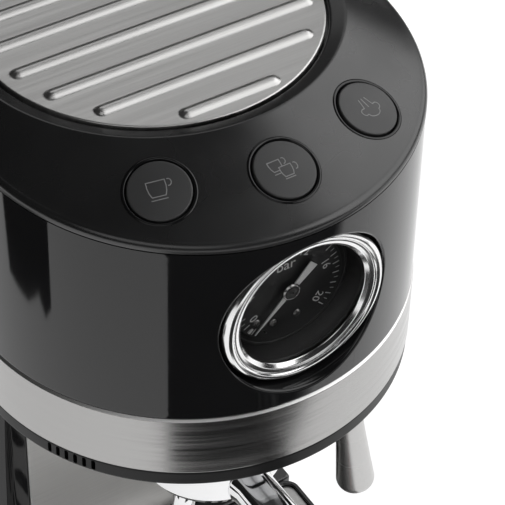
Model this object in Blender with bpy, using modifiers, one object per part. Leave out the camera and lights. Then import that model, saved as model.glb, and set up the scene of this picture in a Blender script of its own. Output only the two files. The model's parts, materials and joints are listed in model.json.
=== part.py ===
"""A home espresso machine with a round, ribbed-top head, as separate pieces.

Metres, +Z up, the front faces -Y. The round head's axis is the design axis: every place below is
measured from it and from the surface that the machine stands on. An empty then shifts the whole
machine, so that the middle of its bounding box lies on the Z axis.
"""

import math

import bmesh
import bpy
from mathutils import Matrix, Vector

GAP = 0.0003
"""Clearance between pieces that rest on each other."""

HEAD_RADIUS = 0.086
HEAD_BACK = 0.112
HEAD_CORNER = 0.012
LIP_BOTTOM = 0.2089
BAND_BOTTOM = 0.2154
BAND_TOP = 0.243
EDGE_HEIGHT = 0.3314
EDGE_TILT = 0.084
"""The cap's outer edge lies in a plane that drops towards the front: its height over the design axis,
and its slope."""
RIM_RADIUS = 0.0705
RIM_TOP = 0.3404
PLATE_Y = 0.0264
PLATE_RADIUS = 0.0636
PLATE_TOP = 0.3392
RECESS_RADIUS = 0.0645
RECESS_FLOOR = 0.3345
RIB_COUNT = 8
RIB_SPACING = 0.01595
RIB_REACH = 0.0593

BUTTON_PLACES = {"one_cup": (-38.4, 0.0667), "two_cups": (0.0, 0.0640), "steam": (38.4, 0.0667)}
"""For each button its angle from the front, in degrees, and its distance from the head's axis."""
BUTTON_RADIUS = 0.011
BUTTON_HOLE_RADIUS = 0.013
BUTTON_RING_RADIUS = 0.0127

GAUGE_Z = 0.2817
GAUGE_SEAT_Y = -0.075
GAUGE_POCKET_RADIUS = 0.0335
GAUGE_CASE_RADIUS = 0.0269
NEEDLE_REST_DEG = 135.0

GROUP_Y = -0.020
NECK_Z = 0.1596
NECK_RADIUS = 0.0086
HANDLE_START = -0.0858
HANDLE_LENGTH = 0.118

WAND_PIVOT = Vector((0.0570, -0.0227, 0.1990))
WAND_TIP = Vector((0.0688, -0.0267, 0.0968))

KNOB_PLACE = Vector((0.0862, 0.050, 0.285))
KNOB_LENGTH = 0.022
KNOB_RADIUS = 0.0172

BASE_BOTTOM = 0.005
BASE_TOP = 0.041
BASE_RADIUS = 0.076
BASE_CENTRE_Y = -0.015
BASE_BACK = 0.176
BASE_CORNER = 0.012
BASE_WALL = 0.0025
TRAY_BACK = 0.0315
TRAY_BOTTOM = 0.0085

COLUMN_HALF = 0.070
COLUMN_FRONT = 0.040
COLUMN_BACK = 0.1095
COLUMN_TOP = 0.2086
COLUMN_WALL = 0.0025
SPLASH_HALF = 0.052
SPLASH_BOTTOM = 0.050
SPLASH_TOP = 0.200
REAR_COVER_THICKNESS = 0.002
COVER_SCREW_HEIGHTS = (0.060, 0.190)

TANK_HALF = 0.0755
TANK_FRONT = 0.1145
TANK_BACK = 0.1745
TANK_BOTTOM = 0.044
TANK_TOP = 0.331
TANK_WALL = 0.0022
TANK_VALVE_Y = 0.145
TANK_VALVE_HOLE = 0.0083
LID_THICKNESS = 0.004

SWITCH_PLACE = Vector((-0.045, 0.1745, 0.023))
SWITCH_REACH = 0.0058
GLAND_PLACE = Vector((0.045, 0.1763, 0.023))
FOOT_PLACES = {
    "front_left": (-0.045, -0.052), "front_right": (0.045, -0.052),
    "rear_left": (-0.060, 0.160), "rear_right": (0.060, 0.160),
}

FRAME_SHIFT = Vector((
    (HEAD_RADIUS - KNOB_PLACE.x - KNOB_LENGTH) / 2,
    (HANDLE_LENGTH - HANDLE_START - SWITCH_PLACE.y - SWITCH_REACH) / 2,
    0.0,
))

UP = Vector((0, 0, 1))
FRONT = Matrix.Rotation(math.radians(90), 4, "X")
"""Turns a piece drawn flat, as seen from above, so that it faces the front."""
REAR = Matrix.Rotation(math.radians(-90), 4, "X")
SIDEWAYS = Matrix.Rotation(math.radians(90), 4, "Y")


# ---------------------------------------------------------------- scene and materials

def clear_scene():
    for item in list(bpy.data.objects):
        bpy.data.objects.remove(item, do_unlink=True)
    for group in list(bpy.data.collections):
        bpy.data.collections.remove(group)


clear_scene()
PARTS = bpy.data.collections.new("espresso_machine")
CUTTERS = bpy.data.collections.new("cutters")
for collection in (PARTS, CUTTERS):
    bpy.context.scene.collection.children.link(collection)
MACHINE = bpy.data.objects.new("machine_frame", None)
MACHINE.location = FRAME_SHIFT
PARTS.objects.link(MACHINE)


def finish(name, colour, roughness, metallic=0.0, alpha=1.0):
    made = bpy.data.materials.new(name)
    made.use_nodes = True
    shader = made.node_tree.nodes["Principled BSDF"]
    shader.inputs["Base Color"].default_value = (*colour, 1.0)
    shader.inputs["Roughness"].default_value = roughness
    shader.inputs["Metallic"].default_value = metallic
    shader.inputs["Alpha"].default_value = alpha
    return made


SATIN_BLACK = finish("satin_black", (0.012, 0.012, 0.013), 0.38)
GLOSS_BLACK = finish("gloss_black", (0.006, 0.006, 0.007), 0.08)
DARK_GREY = finish("dark_grey", (0.035, 0.036, 0.037), 0.5)
BUTTON_GREY = finish("button_grey", (0.03, 0.03, 0.031), 0.45)
STEEL = finish("brushed_steel", (0.6, 0.59, 0.58), 0.3, 1.0)
CHROME = finish("chrome", (0.8, 0.8, 0.8), 0.06, 1.0)
ALUMINIUM = finish("aluminium", (0.55, 0.56, 0.57), 0.4, 1.0)
BRASS = finish("brass", (0.7, 0.5, 0.22), 0.3, 1.0)
RUBBER = finish("rubber", (0.015, 0.015, 0.015), 0.8)
WHITE = finish("white_plastic", (0.75, 0.74, 0.71), 0.4)
RED = finish("red_plastic", (0.6, 0.03, 0.02), 0.35)
DIAL_BLACK = finish("dial_black", (0.006, 0.006, 0.006), 0.6)
GLASS = finish("clear_glass", (0.9, 0.93, 0.93), 0.02, 0.0, 0.2)
SMOKE = finish("smoked_plastic", (0.06, 0.065, 0.07), 0.1, 0.0, 0.5)
GREEN = finish("board_green", (0.01, 0.1, 0.04), 0.4)


# ---------------------------------------------------------------- outlines, as lists of (x, y)

def arc(centre, radius, start, end, steps):
    """Points along an arc, both ends included; angles in degrees, anticlockwise from +X."""
    angles = [math.radians(start + (end - start) * i / steps) for i in range(steps + 1)]
    return [(centre[0] + radius * math.cos(a), centre[1] + radius * math.sin(a)) for a in angles]


def between(first, last, steps):
    """Points inside a straight run, both ends left out."""
    return [
        (first[0] + (last[0] - first[0]) * i / steps, first[1] + (last[1] - first[1]) * i / steps)
        for i in range(1, steps)
    ]


def d_outline(radius, centre_y, back, corner, steps=36, side_steps=1, back_steps=1):
    """Round at the front, straight sides, a flat back with rounded corners."""
    reach, inner = radius - corner, back - corner
    front = arc((0, centre_y), radius, 180, 360, steps)
    right = arc((reach, inner), corner, 0, 90, 4)
    left = arc((-reach, inner), corner, 90, 180, 4)
    return (
        front + between(front[-1], right[0], side_steps) + right
        + between(right[-1], left[0], back_steps) + left + between(left[-1], front[0], side_steps)
    )


def head_outline(inset):
    return d_outline(HEAD_RADIUS - inset, 0, HEAD_BACK - inset, HEAD_CORNER - inset, 36, 7, 6)


def rounded_box(low, high, front_corner, rear_corner):
    """A rectangle from low to high with its front (-Y) and rear (+Y) corners rounded."""
    (x0, y0), (x1, y1) = low, high
    f, r = front_corner, rear_corner
    return (
        arc((x0 + f, y0 + f), f, 180, 270, 4) + arc((x1 - f, y0 + f), f, 270, 360, 4)
        + arc((x1 - r, y1 - r), r, 0, 90, 4) + arc((x0 + r, y1 - r), r, 90, 180, 4)
    )


def slot_outline(centre, half_length, radius, steps, upright=False):
    """A slot with round ends, along X, or along Y when upright."""
    points = (
        arc((half_length - radius, 0), radius, -90, 90, steps)
        + arc((radius - half_length, 0), radius, 90, 270, steps)
    )
    if upright:
        points = [(-y, x) for x, y in points]
    return [(centre[0] + x, centre[1] + y) for x, y in points]


def raised(outline, z):
    return [(x, y, z) for x, y in outline]


# ---------------------------------------------------------------- solids

def register(item, material, place=(0, 0, 0), turn=None, cutter=False):
    """Names the material, puts the object in its collection and ties it to the machine's frame."""
    if not item.data.materials:
        item.data.materials.append(material)
    item.parent = MACHINE
    item.matrix_local = Matrix.Translation(place) @ (turn or Matrix.Identity(4))
    (CUTTERS if cutter else PARTS).objects.link(item)
    if cutter:
        item.hide_render = True
        item.display_type = "WIRE"
    return item


def smooth(mesh, angle=32):
    mesh.shade_smooth()
    mesh.set_sharp_from_angle(angle=math.radians(angle))


def loft(name, rings, material, closed=False, cutter=False, place=(0, 0, 0), turn=None):
    """Skins rings of equal length. The end rings are filled, or joined to each other when closed."""
    mesh = bpy.data.meshes.new(name)
    build = bmesh.new()
    rows = [[build.verts.new(point) for point in ring] for ring in rings]
    pairs = list(zip(rows, rows[1:]))
    if closed:
        pairs.append((rows[-1], rows[0]))
    else:
        build.faces.new(rows[0])
        build.faces.new(rows[-1])
    for below, above in pairs:
        for i in range(len(below)):
            j = (i + 1) % len(below)
            build.faces.new((below[i], below[j], above[j], above[i]))
    bmesh.ops.recalc_face_normals(build, faces=build.faces)
    build.to_mesh(mesh)
    build.free()
    smooth(mesh)
    return register(bpy.data.objects.new(name, mesh), material, place, turn, cutter)


def turned(name, profile, material, place=(0, 0, 0), turn=None, steps=24, ring=False, cutter=False):
    """A turned piece. The profile is (radius, height), down the outer side; a ring's profile is a loop."""
    mesh = bpy.data.meshes.new(name)
    edges = [(i, i + 1) for i in range(len(profile) - 1)]
    if ring:
        edges.append((len(profile) - 1, 0))
    mesh.from_pydata([(radius, 0, height) for radius, height in profile], edges, [])
    item = register(bpy.data.objects.new(name, mesh), material, place, turn, cutter)
    screw = item.modifiers.new("turn", "SCREW")
    screw.steps = screw.render_steps = steps
    screw.use_merge_vertices = True
    screw.merge_threshold = 0.00001
    return item


def plate(name, outlines, low, high, material, turn=None, place=(0, 0, 0), bevel=0.0, cutter=False):
    """A flat outline given thickness; outlines after the first are holes."""
    curve = bpy.data.curves.new(name, "CURVE")
    curve.dimensions = "2D"
    curve.fill_mode = "BOTH"
    curve.extrude = (high - low) / 2
    for outline in outlines:
        spline = curve.splines.new("POLY")
        spline.points.add(len(outline) - 1)
        spline.use_cyclic_u = True
        for point, (x, y) in zip(spline.points, outline):
            point.co = (x, y, 0, 1)
    mesh = mesh_of_curve(name, curve)
    mesh.transform(Matrix.Translation((0, 0, (low + high) / 2)))
    smooth(mesh)
    item = register(bpy.data.objects.new(name, mesh), material, place, turn, cutter)
    if bevel:
        add_bevel(item, bevel)
    return item


def mesh_of_curve(name, curve):
    """Makes a curve's solid into a mesh with its caps welded on."""
    holder = bpy.data.objects.new(name + "_curve", curve)
    CUTTERS.objects.link(holder)
    evaluated = holder.evaluated_get(bpy.context.evaluated_depsgraph_get())
    mesh = bpy.data.meshes.new_from_object(evaluated)
    bpy.data.objects.remove(holder)
    mesh.name = name
    build = bmesh.new()
    build.from_mesh(mesh)
    bmesh.ops.remove_doubles(build, verts=build.verts, dist=0.000001)
    bmesh.ops.recalc_face_normals(build, faces=build.faces)
    build.to_mesh(mesh)
    build.free()
    return mesh


def tube(name, points, radius, material, resolution=2, cutter=False):
    """A round tube along a smooth path through the points, as a welded mesh."""
    curve = bpy.data.curves.new(name, "CURVE")
    curve.dimensions = "3D"
    curve.bevel_depth = radius
    curve.bevel_resolution = resolution
    curve.use_fill_caps = True
    path = smooth_path([Vector(point) for point in points], 3)
    spline = curve.splines.new("POLY")
    spline.points.add(len(path) - 1)
    for point, place in zip(spline.points, path):
        point.co = (*place, 1)
    mesh = mesh_of_curve(name, curve)
    smooth(mesh, 50)
    return register(bpy.data.objects.new(name, mesh), material, cutter=cutter)


def smooth_path(points, steps):
    """Catmull-Rom points through a route."""
    ends = [2 * points[0] - points[1], *points, 2 * points[-1] - points[-2]]
    path = []
    for a, b, c, d in zip(ends, ends[1:], ends[2:], ends[3:]):
        for i in range(steps):
            t = i / steps
            path.append(0.5 * (
                2 * b + (c - a) * t + (2 * a - 5 * b + 4 * c - d) * t * t + (3 * b - a - 3 * c + d) * t ** 3
            ))
    return [*path, points[-1]]


def block(name, low, high, material, bevel=0.0, turn=None, place=(0, 0, 0), cutter=False):
    """A box from one corner to the other."""
    mesh = bpy.data.meshes.new(name)
    build = bmesh.new()
    bmesh.ops.create_cube(build, size=1.0)
    for vertex in build.verts:
        vertex.co = [(a + b) / 2 + (b - a) * c for a, b, c in zip(low, high, vertex.co)]
    build.to_mesh(mesh)
    build.free()
    item = register(bpy.data.objects.new(name, mesh), material, place, turn, cutter)
    if bevel:
        add_bevel(item, bevel)
    return item


def add_bevel(item, width):
    bevel = item.modifiers.new("edges", "BEVEL")
    bevel.width = width
    bevel.segments = 2
    bevel.angle_limit = math.radians(50)
    bevel.harden_normals = False


def rod(name, start, end, radius, steps=24):
    """A cylinder used as a cutter or joined to another piece, from one point to another."""
    start, end = Vector(start), Vector(end)
    length = (end - start).length
    turn = (end - start).to_track_quat("Z", "Y").to_matrix().to_4x4()
    profile = [(0, length), (radius, length), (radius, 0), (0, 0)]
    return turned(name, profile, DARK_GREY, start, turn, steps, cutter=True)


def boolean(item, tool, operation):
    change = item.modifiers.new(operation.lower(), "BOOLEAN")
    change.operation = operation
    change.object = tool
    change.solver = "EXACT"


def cut(item, *tools):
    for tool in tools:
        boolean(item, tool, "DIFFERENCE")


def join(item, *tools):
    for tool in tools:
        boolean(item, tool, "UNION")


# ---------------------------------------------------------------- head

def edge_plane(y):
    """Height of the cap's outer edge."""
    return EDGE_HEIGHT + EDGE_TILT * y


def edge_ring(inset, drop):
    return [(x, y, edge_plane(y) - drop) for x, y in head_outline(inset)]


def rim_ring(radius, z):
    """A circle round the cup plate, with one point towards each point of the head's outline."""
    centre = Vector((0, PLATE_Y))
    ring = []
    for point in head_outline(0):
        ray = (Vector(point) - centre).normalized() * radius
        ring.append((centre.x + ray.x, centre.y + ray.y, z))
    return ring


CAP_FILLET = 0.0026
CAP_WALL = 0.0024
CAP_SKIRT = 0.0034
CAP_INSET = 0.0007


def cap_slope_frame(angle_deg, distance):
    """Place and matrix on the cap's slope: local Z is the slope's normal, local X runs towards +X."""
    angle = math.radians(angle_deg)
    toward = Vector((math.sin(angle), -math.cos(angle), 0))
    centre = Vector((0, PLATE_Y, 0))
    along = toward * distance - centre
    ray = along.normalized()
    reach = -centre.dot(ray) + math.sqrt((HEAD_RADIUS - CAP_INSET - CAP_FILLET) ** 2
                                         - centre.length ** 2 + centre.dot(ray) ** 2)
    outer = centre + ray * reach
    rise = RIM_TOP - edge_plane(outer.y)
    slope = rise / (reach - RIM_RADIUS)
    height = RIM_TOP - slope * (along.length - RIM_RADIUS)
    normal = (ray * slope + UP).normalized()
    across = (Vector((1, 0, 0)) - normal * normal.x).normalized()
    turn = Matrix((across, normal.cross(across), normal)).transposed().to_4x4()
    return toward * distance + UP * height, turn


def make_head():
    head_floor()
    steel_band()
    head_shell()
    top_cap()
    cup_plate()


def head_floor():
    lip, wall_out, wall_in = 0.0004, 0.0036, 0.0056
    floor_top, wall_top = 0.2119, 0.2446
    profile = [
        (lip, LIP_BOTTOM), (lip, BAND_BOTTOM), (wall_out, BAND_BOTTOM),
        (wall_out, wall_top), (wall_in, wall_top), (wall_in, floor_top),
    ]
    floor = loft("head_floor", [raised(head_outline(i), z) for i, z in profile], DARK_GREY)
    group_hole = rod("group_hole", (0, GROUP_Y, 0.2), (0, GROUP_Y, 0.22), 0.0305, 40)
    steam_hole = rod("steam_hole", (*WAND_PIVOT.xy, 0.2), (*WAND_PIVOT.xy, 0.22), 0.004, 12)
    service_hole = block("service_hole", (-0.055, 0.050, 0.2), (0.055, 0.102, 0.22), DARK_GREY, cutter=True)
    cut(floor, group_hole, steam_hole, service_hole)
    first, pitch, count = -66.0, 2.45, 6
    for i in range(count):
        turn = Matrix.Rotation(math.radians(first + pitch * i), 4, "Z")
        low = (-0.0008, -HEAD_RADIUS - 0.001, LIP_BOTTOM + 0.001)
        high = (0.0008, -HEAD_RADIUS + 0.003, BAND_BOTTOM - 0.0011)
        cut(floor, block(f"vent_{i}", low, high, DARK_GREY, turn=turn, cutter=True))


def steel_band():
    low, high, chamfer, wall = BAND_BOTTOM + GAP, BAND_TOP - GAP, 0.0003, 0.0012
    profile = [
        (wall, low), (0, low), (0, high - chamfer), (chamfer, high), (wall, high),
    ]
    loft("steel_band", [raised(head_outline(i), z) for i, z in profile], STEEL, closed=True)


def head_shell():
    bottom, foot_inset, wall, drop = BAND_TOP + GAP, 0.0004, 0.0024, CAP_SKIRT + GAP
    inner = CAP_INSET + wall
    shell = loft("head_shell", [
        raised(head_outline(foot_inset), bottom), edge_ring(CAP_INSET, drop),
        edge_ring(inner, drop), raised(head_outline(inner), bottom),
    ], GLOSS_BLACK, closed=True)
    pocket_wall, pocket_floor, boss_back = 0.003, GAUGE_SEAT_Y - 0.0002, GAUGE_SEAT_Y + 0.0025
    boss_radius = GAUGE_POCKET_RADIUS + pocket_wall
    boss = rod("gauge_boss", (0, -0.095, GAUGE_Z), (0, boss_back, GAUGE_Z), boss_radius, 36)
    trim = loft("gauge_boss_trim", [
        raised(head_outline(CAP_INSET + 0.0002), bottom + 0.001),
        raised(head_outline(CAP_INSET + 0.0002), edge_plane(-HEAD_RADIUS)),
    ], GLOSS_BLACK, cutter=True)
    boolean(boss, trim, "INTERSECT")
    join(shell, boss)
    cut(
        shell,
        rod("gauge_pocket", (0, -0.1, GAUGE_Z), (0, pocket_floor, GAUGE_Z), GAUGE_POCKET_RADIUS, 36),
        rod("gauge_hole", (0, -0.08, GAUGE_Z), (0, -0.065, GAUGE_Z), GAUGE_CASE_RADIUS + GAP, 28),
        rod("knob_hole", KNOB_PLACE - Vector((0.01, 0, 0)), KNOB_PLACE + Vector((0.005, 0, 0)), 0.0036, 16),
    )


def top_cap():
    half_fillet = CAP_FILLET * (1 - math.sqrt(0.5))
    rings = [
        rim_ring(RECESS_RADIUS, RECESS_FLOOR), rim_ring(RECESS_RADIUS, RIM_TOP - 0.0019),
        rim_ring(RIM_RADIUS, RIM_TOP),
        edge_ring(CAP_INSET + CAP_FILLET, 0), edge_ring(CAP_INSET + half_fillet, half_fillet),
        edge_ring(CAP_INSET, CAP_FILLET), edge_ring(CAP_INSET, CAP_SKIRT),
        edge_ring(CAP_INSET + CAP_WALL, CAP_SKIRT), edge_ring(CAP_INSET + 0.0045, 0.0024),
        rim_ring(RIM_RADIUS - 0.0015, RIM_TOP - CAP_WALL - 0.0003),
        rim_ring(RECESS_RADIUS + 0.002, RECESS_FLOOR - CAP_WALL),
    ]
    cap = loft("top_cap", rings, SATIN_BLACK)
    hole = [(0, 0.01), (BUTTON_HOLE_RADIUS, 0.01), (BUTTON_HOLE_RADIUS, -0.01), (0, -0.01)]
    for name, (angle, distance) in BUTTON_PLACES.items():
        place, turn = cap_slope_frame(angle, distance)
        cut(cap, turned(f"button_hole_{name}", hole, SATIN_BLACK, place, turn, 40, cutter=True))


def cup_plate():
    skirt_bottom, sheet, fold = RECESS_FLOOR + GAP, 0.0012, 0.001
    profile = [
        (0, PLATE_TOP), (PLATE_RADIUS - 0.0004, PLATE_TOP), (PLATE_RADIUS, PLATE_TOP - 0.0004),
        (PLATE_RADIUS, skirt_bottom), (PLATE_RADIUS - fold, skirt_bottom),
        (PLATE_RADIUS - fold, PLATE_TOP - sheet), (0, PLATE_TOP - sheet),
    ]
    cup = turned("cup_plate", profile, STEEL, (0, PLATE_Y, 0), steps=44)
    section = [(0.0028, -0.0004), (0.0028, 0.0002), (0.0021, 0.0012), (0.0009, 0.0016)]
    for i in range(RIB_COUNT):
        y = RIB_SPACING * (i - (RIB_COUNT - 1) / 2)
        reach = math.sqrt(RIB_REACH ** 2 - y ** 2)
        widest = section[0][0]
        rings = [
            raised(slot_outline((0, y), reach - widest + half, half, 4), PLATE_TOP + z)
            for half, z in section
        ]
        join(cup, loft(f"rib_{i}", rings, STEEL, cutter=True, place=(0, PLATE_Y, 0)))


# ---------------------------------------------------------------- buttons

def make_buttons():
    ring = [
        (BUTTON_RING_RADIUS, 0.0001), (BUTTON_RING_RADIUS, -0.0045),
        (0.0113, -0.0045), (0.0113, -0.0008), (0.0120, 0.0001),
    ]
    button = [
        (0, 0.0010), (0.0060, 0.0009), (0.0102, 0.0006), (0.0108, 0.0003), (BUTTON_RADIUS, -0.0002),
        (BUTTON_RADIUS, -0.0060), (0.0119, -0.0060), (0.0119, -0.0068),
        (0.0030, -0.0068), (0.0030, -0.0095), (0, -0.0095),
    ]
    switch = [
        (0, -0.0114), (0.0020, -0.0114), (0.0020, -0.0130), (0.0045, -0.0130),
        (0.0045, -0.0165), (0.0090, -0.0165), (0.0090, -0.0180), (0, -0.0180),
    ]
    for name, (angle, distance) in BUTTON_PLACES.items():
        place, turn = cap_slope_frame(angle, distance)
        turned(f"ring_{name}", ring, GLOSS_BLACK, place, turn, 24, ring=True)
        turned(f"button_{name}", button, BUTTON_GREY, place, turn, 24)
        turned(f"switch_{name}", switch, WHITE, place, turn, 12)


# ---------------------------------------------------------------- pressure gauge

def make_gauge():
    place = Vector((0, GAUGE_SEAT_Y, GAUGE_Z))
    case_inner, flange_top = 0.0257, 0.0015
    turned("gauge_case", [
        (0, -0.0285), (case_inner, -0.0285), (case_inner, flange_top), (0.0284, flange_top),
        (0.0284, 0.0005), (GAUGE_CASE_RADIUS, 0.0005), (GAUGE_CASE_RADIUS, -0.0300), (0, -0.0300),
    ], DARK_GREY, place, FRONT, 28)
    turned("gauge_dial", [
        (0, -0.0056), (0.0221, -0.0056), (0.0223, -0.0062), (0.0254, -0.0062), (0.0254, -0.0072),
        (0, -0.0072),
    ], DIAL_BLACK, place, FRONT, 28)
    lens = [(0, 0.0031), (0.0268, 0.0031), (0.0268, 0.0018), (0, 0.0018)]
    turned("gauge_lens", lens, GLASS, place, FRONT, 28)
    turned("gauge_bezel", [
        (0.0287, 0.0005), (0.0287, 0.0018), (0.0272, 0.0018), (0.0272, 0.0034), (0.0255, 0.0034),
        (0.0258, 0.0048), (0.0272, 0.0047), (0.0282, 0.0059), (0.0298, 0.0060), (0.0315, 0.0046),
        (0.0320, 0.0028), (0.0310, 0.0005),
    ], CHROME, place, FRONT, 36, ring=True)
    gauge_needle(place)
    pipe = [(0, -0.0286, 0.262), (0, -0.034, 0.2635), (0, -0.040, 0.2795), (0, -0.0447, 0.2817)]
    tube("gauge_pipe", pipe, 0.0015, BRASS)


def gauge_needle(place):
    tip, tail, tip_half, tail_half, root_half = 0.0203, 0.0129, 0.0002, 0.0020, 0.0011
    outline = [
        (root_half, 0.002), (tip_half, tip), (-tip_half, tip), (-root_half, 0.002),
        (-root_half, -0.002), (-tail_half, -tail), (tail_half, -tail), (root_half, -0.002),
    ]
    rest = FRONT @ Matrix.Rotation(math.radians(NEEDLE_REST_DEG), 4, "Z")
    needle = plate("gauge_needle", [outline], -0.0043, -0.0038, STEEL, rest, place)
    hub = turned("needle_hub", [
        (0, -0.0028), (0.0022, -0.0028), (0.0025, -0.0031), (0.0025, -0.0036), (0.0032, -0.0036),
        (0.0032, -0.0046), (0.0012, -0.0046), (0.0012, -0.0053), (0, -0.0053),
    ], STEEL, place, rest, 16, cutter=True)
    join(needle, hub)


# ---------------------------------------------------------------- brew group and portafilter

def make_group():
    centre = Vector((0, GROUP_Y, 0))
    group = turned("group_head", [
        (0, 0.2360), (0.0300, 0.2360), (0.0300, 0.2086), (0.0370, 0.2086), (0.0370, 0.1830),
        (0.0360, 0.1815), (0.0300, 0.1810), (0.0300, 0.1865), (0.0335, 0.1865), (0.0335, 0.1950),
        (0.0297, 0.1950), (0.0297, 0.2045), (0, 0.2045),
    ], ALUMINIUM, centre, steps=28)
    for i, angle in enumerate((-45, 135)):
        turn = Matrix.Rotation(math.radians(angle), 4, "Z")
        notch = block(f"bayonet_notch_{i}", (0.025, -0.0068, 0.180), (0.0334, 0.0068, 0.187), ALUMINIUM,
                      turn=turn, place=centre, cutter=True)
        cut(group, notch)
    turned("group_gasket", [(0.0292, 0.2041), (0.0292, 0.1991), (0.0262, 0.1991), (0.0262, 0.2041)],
           RUBBER, centre, ring=True)
    turned("shower_screen", [
        (0, 0.2041), (0.0256, 0.2041), (0.0256, 0.1996), (0.0250, 0.1992),
        (0.0040, 0.1992), (0.0040, 0.1984), (0, 0.1984),
    ], STEEL, centre)


def make_portafilter():
    centre = Vector((0, GROUP_Y, NECK_Z))

    def below(profile):
        return [(radius, z - NECK_Z) for radius, z in profile]

    body = turned("portafilter_body", below([
        (0.0293, 0.1967), (0.0293, 0.1545), (0.0270, 0.1508), (0.0180, 0.1500), (0.0040, 0.1500),
        (0.0040, 0.1525), (0.0250, 0.1535), (0.0270, 0.1560), (0.0270, 0.1967),
    ]), CHROME, centre, steps=28, ring=True)
    neck_start, neck_end = (0, GROUP_Y - 0.0278, NECK_Z), (0, HANDLE_START + GAP, NECK_Z)
    join(body, rod("portafilter_neck", neck_start, neck_end, NECK_RADIUS, 20))
    for i, side in enumerate((-1, 1)):
        low, high = (0.0280, -0.006, 0.1880), (0.0322, 0.006, 0.1925)
        turn = Matrix.Rotation(math.pi / 2 * (1 - side), 4, "Z")
        ear = f"portafilter_ear_{i}"
        join(body, block(ear, low, high, CHROME, turn=turn, place=(0, GROUP_Y, 0), cutter=True))
    turned("filter_basket", below([
        (0, 0.1745), (0.0245, 0.1745), (0.0255, 0.1765), (0.0258, 0.1987), (0.0292, 0.1987),
        (0.0292, 0.1971), (0.0266, 0.1971), (0.0264, 0.1755), (0.0250, 0.1735), (0, 0.1735),
    ]), STEEL, centre)
    turned("portafilter_handle", [
        (0, HANDLE_LENGTH), (0.0118, HANDLE_LENGTH), (0.0138, 0.1160), (0.0146, 0.1120),
        (0.0143, 0.1040), (0.0124, 0.0840), (0.0118, 0.0600), (0.0126, 0.0340), (0.0120, 0.0140),
        (0.0104, 0.0030), (0.0095, 0), (0, 0),
    ], SATIN_BLACK, (0, HANDLE_START, NECK_Z), FRONT)
    double_spout()


def double_spout():
    outlet_x, outlet_z, arch_z = 0.0125, 0.118, 0.1385
    stem = [(0, 0.1496), (0.0078, 0.1496), (0.0078, 0.1430), (0.0060, 0.1380), (0, 0.1380)]
    spout = turned("double_spout", stem, CHROME, (0, GROUP_Y, 0), steps=20)
    route = [
        (-outlet_x, GROUP_Y, outlet_z), (-outlet_x, GROUP_Y, outlet_z + 0.009),
        (-outlet_x * 0.75, GROUP_Y, arch_z - 0.0035), (0, GROUP_Y, arch_z),
        (outlet_x * 0.75, GROUP_Y, arch_z - 0.0035), (outlet_x, GROUP_Y, outlet_z + 0.009),
        (outlet_x, GROUP_Y, outlet_z),
    ]
    join(spout, tube("spout_arch", route, 0.0046, CHROME, 2, cutter=True))
    for i, side in enumerate((-1, 1)):
        outlet = Vector((side * outlet_x, GROUP_Y, outlet_z))
        cut(spout, rod(f"spout_outlet_{i}", outlet - UP * 0.002, outlet + UP * 0.007, 0.0032, 12))


# ---------------------------------------------------------------- steam wand, knob and valve

def make_steam():
    along = WAND_TIP - WAND_PIVOT
    lean = (-along).to_track_quat("Z", "Y").to_matrix().to_4x4()
    length = along.length
    ball, seat, tube_radius = 0.0075, 0.0079, 0.004
    socket_top = LIP_BOTTOM - GAP - WAND_PIVOT.z
    dome = [(seat * math.cos(math.radians(a)), seat * math.sin(math.radians(a))) for a in (4, 22, 45, 68)]
    turned("wand_socket", [
        (0, socket_top), (0.0105, socket_top), (0.0118, socket_top - 0.0015), (0.0118, 0.0006),
        *dome, (0, seat),
    ], CHROME, WAND_PIVOT)
    turned("wand_nut", [
        (0.0118, 0.0003), (0.0120, -0.0010), (0.0116, -0.0060), (0.0108, -0.0068),
        (0.0087, -0.0068), (0.0087, 0.0003),
    ], CHROME, WAND_PIVOT, ring=True)
    neck_angle = math.asin(tube_radius / ball)
    sweep = [math.pi / 2 - (math.pi - neck_angle) * i / 6 for i in range(7)]
    sphere = [(ball * math.cos(a), ball * math.sin(a)) for a in sweep]
    sphere[0] = (0, ball)
    turned("steam_tube", [*sphere, (tube_radius, -0.045), (0, -0.045)], STEEL, WAND_PIVOT, lean, 16)
    turned("wand_grip", [
        (0.0058, -0.0125), (0.0068, -0.0138), (0.0070, -0.0200), (0.0066, -0.0262), (0.0058, -0.0272),
        (0.0043, -0.0272), (0.0043, -0.0125),
    ], RUBBER, WAND_PIVOT, lean, 16, ring=True)
    widest, end_radius = 0.0080, 0.0068
    tip = [
        (widest - end_radius * (1 - math.cos(bend)), end_radius - length - end_radius * math.sin(bend))
        for bend in (math.radians(a) for a in (0, 25, 50, 72, 90))
    ]
    turned("froth_sleeve", [
        (0, -0.0454), (0.0043, -0.0454), (0.0043, -0.0280), (0.0050, -0.0276), (0.0052, -0.0284),
        (0.0053, -0.0450), (0.0061, -0.0710), *tip, (0, -length),
    ], STEEL, WAND_PIVOT, lean)
    turned("steam_knob", [
        (0, KNOB_LENGTH), (0.0138, KNOB_LENGTH), (0.0158, 0.0206), (KNOB_RADIUS, 0.0030),
        (KNOB_RADIUS, 0.0004), (0.0030, 0.0004), (0.0030, -0.0100), (0, -0.0100),
    ], SATIN_BLACK, KNOB_PLACE, SIDEWAYS)
    turned("steam_valve", [
        (0, -0.0104), (0.0060, -0.0104), (0.0060, -0.0180), (0.0095, -0.0180), (0.0095, -0.0340),
        (0, -0.0340),
    ], BRASS, KNOB_PLACE, SIDEWAYS, 16)


# ---------------------------------------------------------------- base, drip tray and feet

def base_outline(inset, back):
    return d_outline(BASE_RADIUS - inset, BASE_CENTRE_Y, back - inset, BASE_CORNER - inset, 28)


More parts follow.
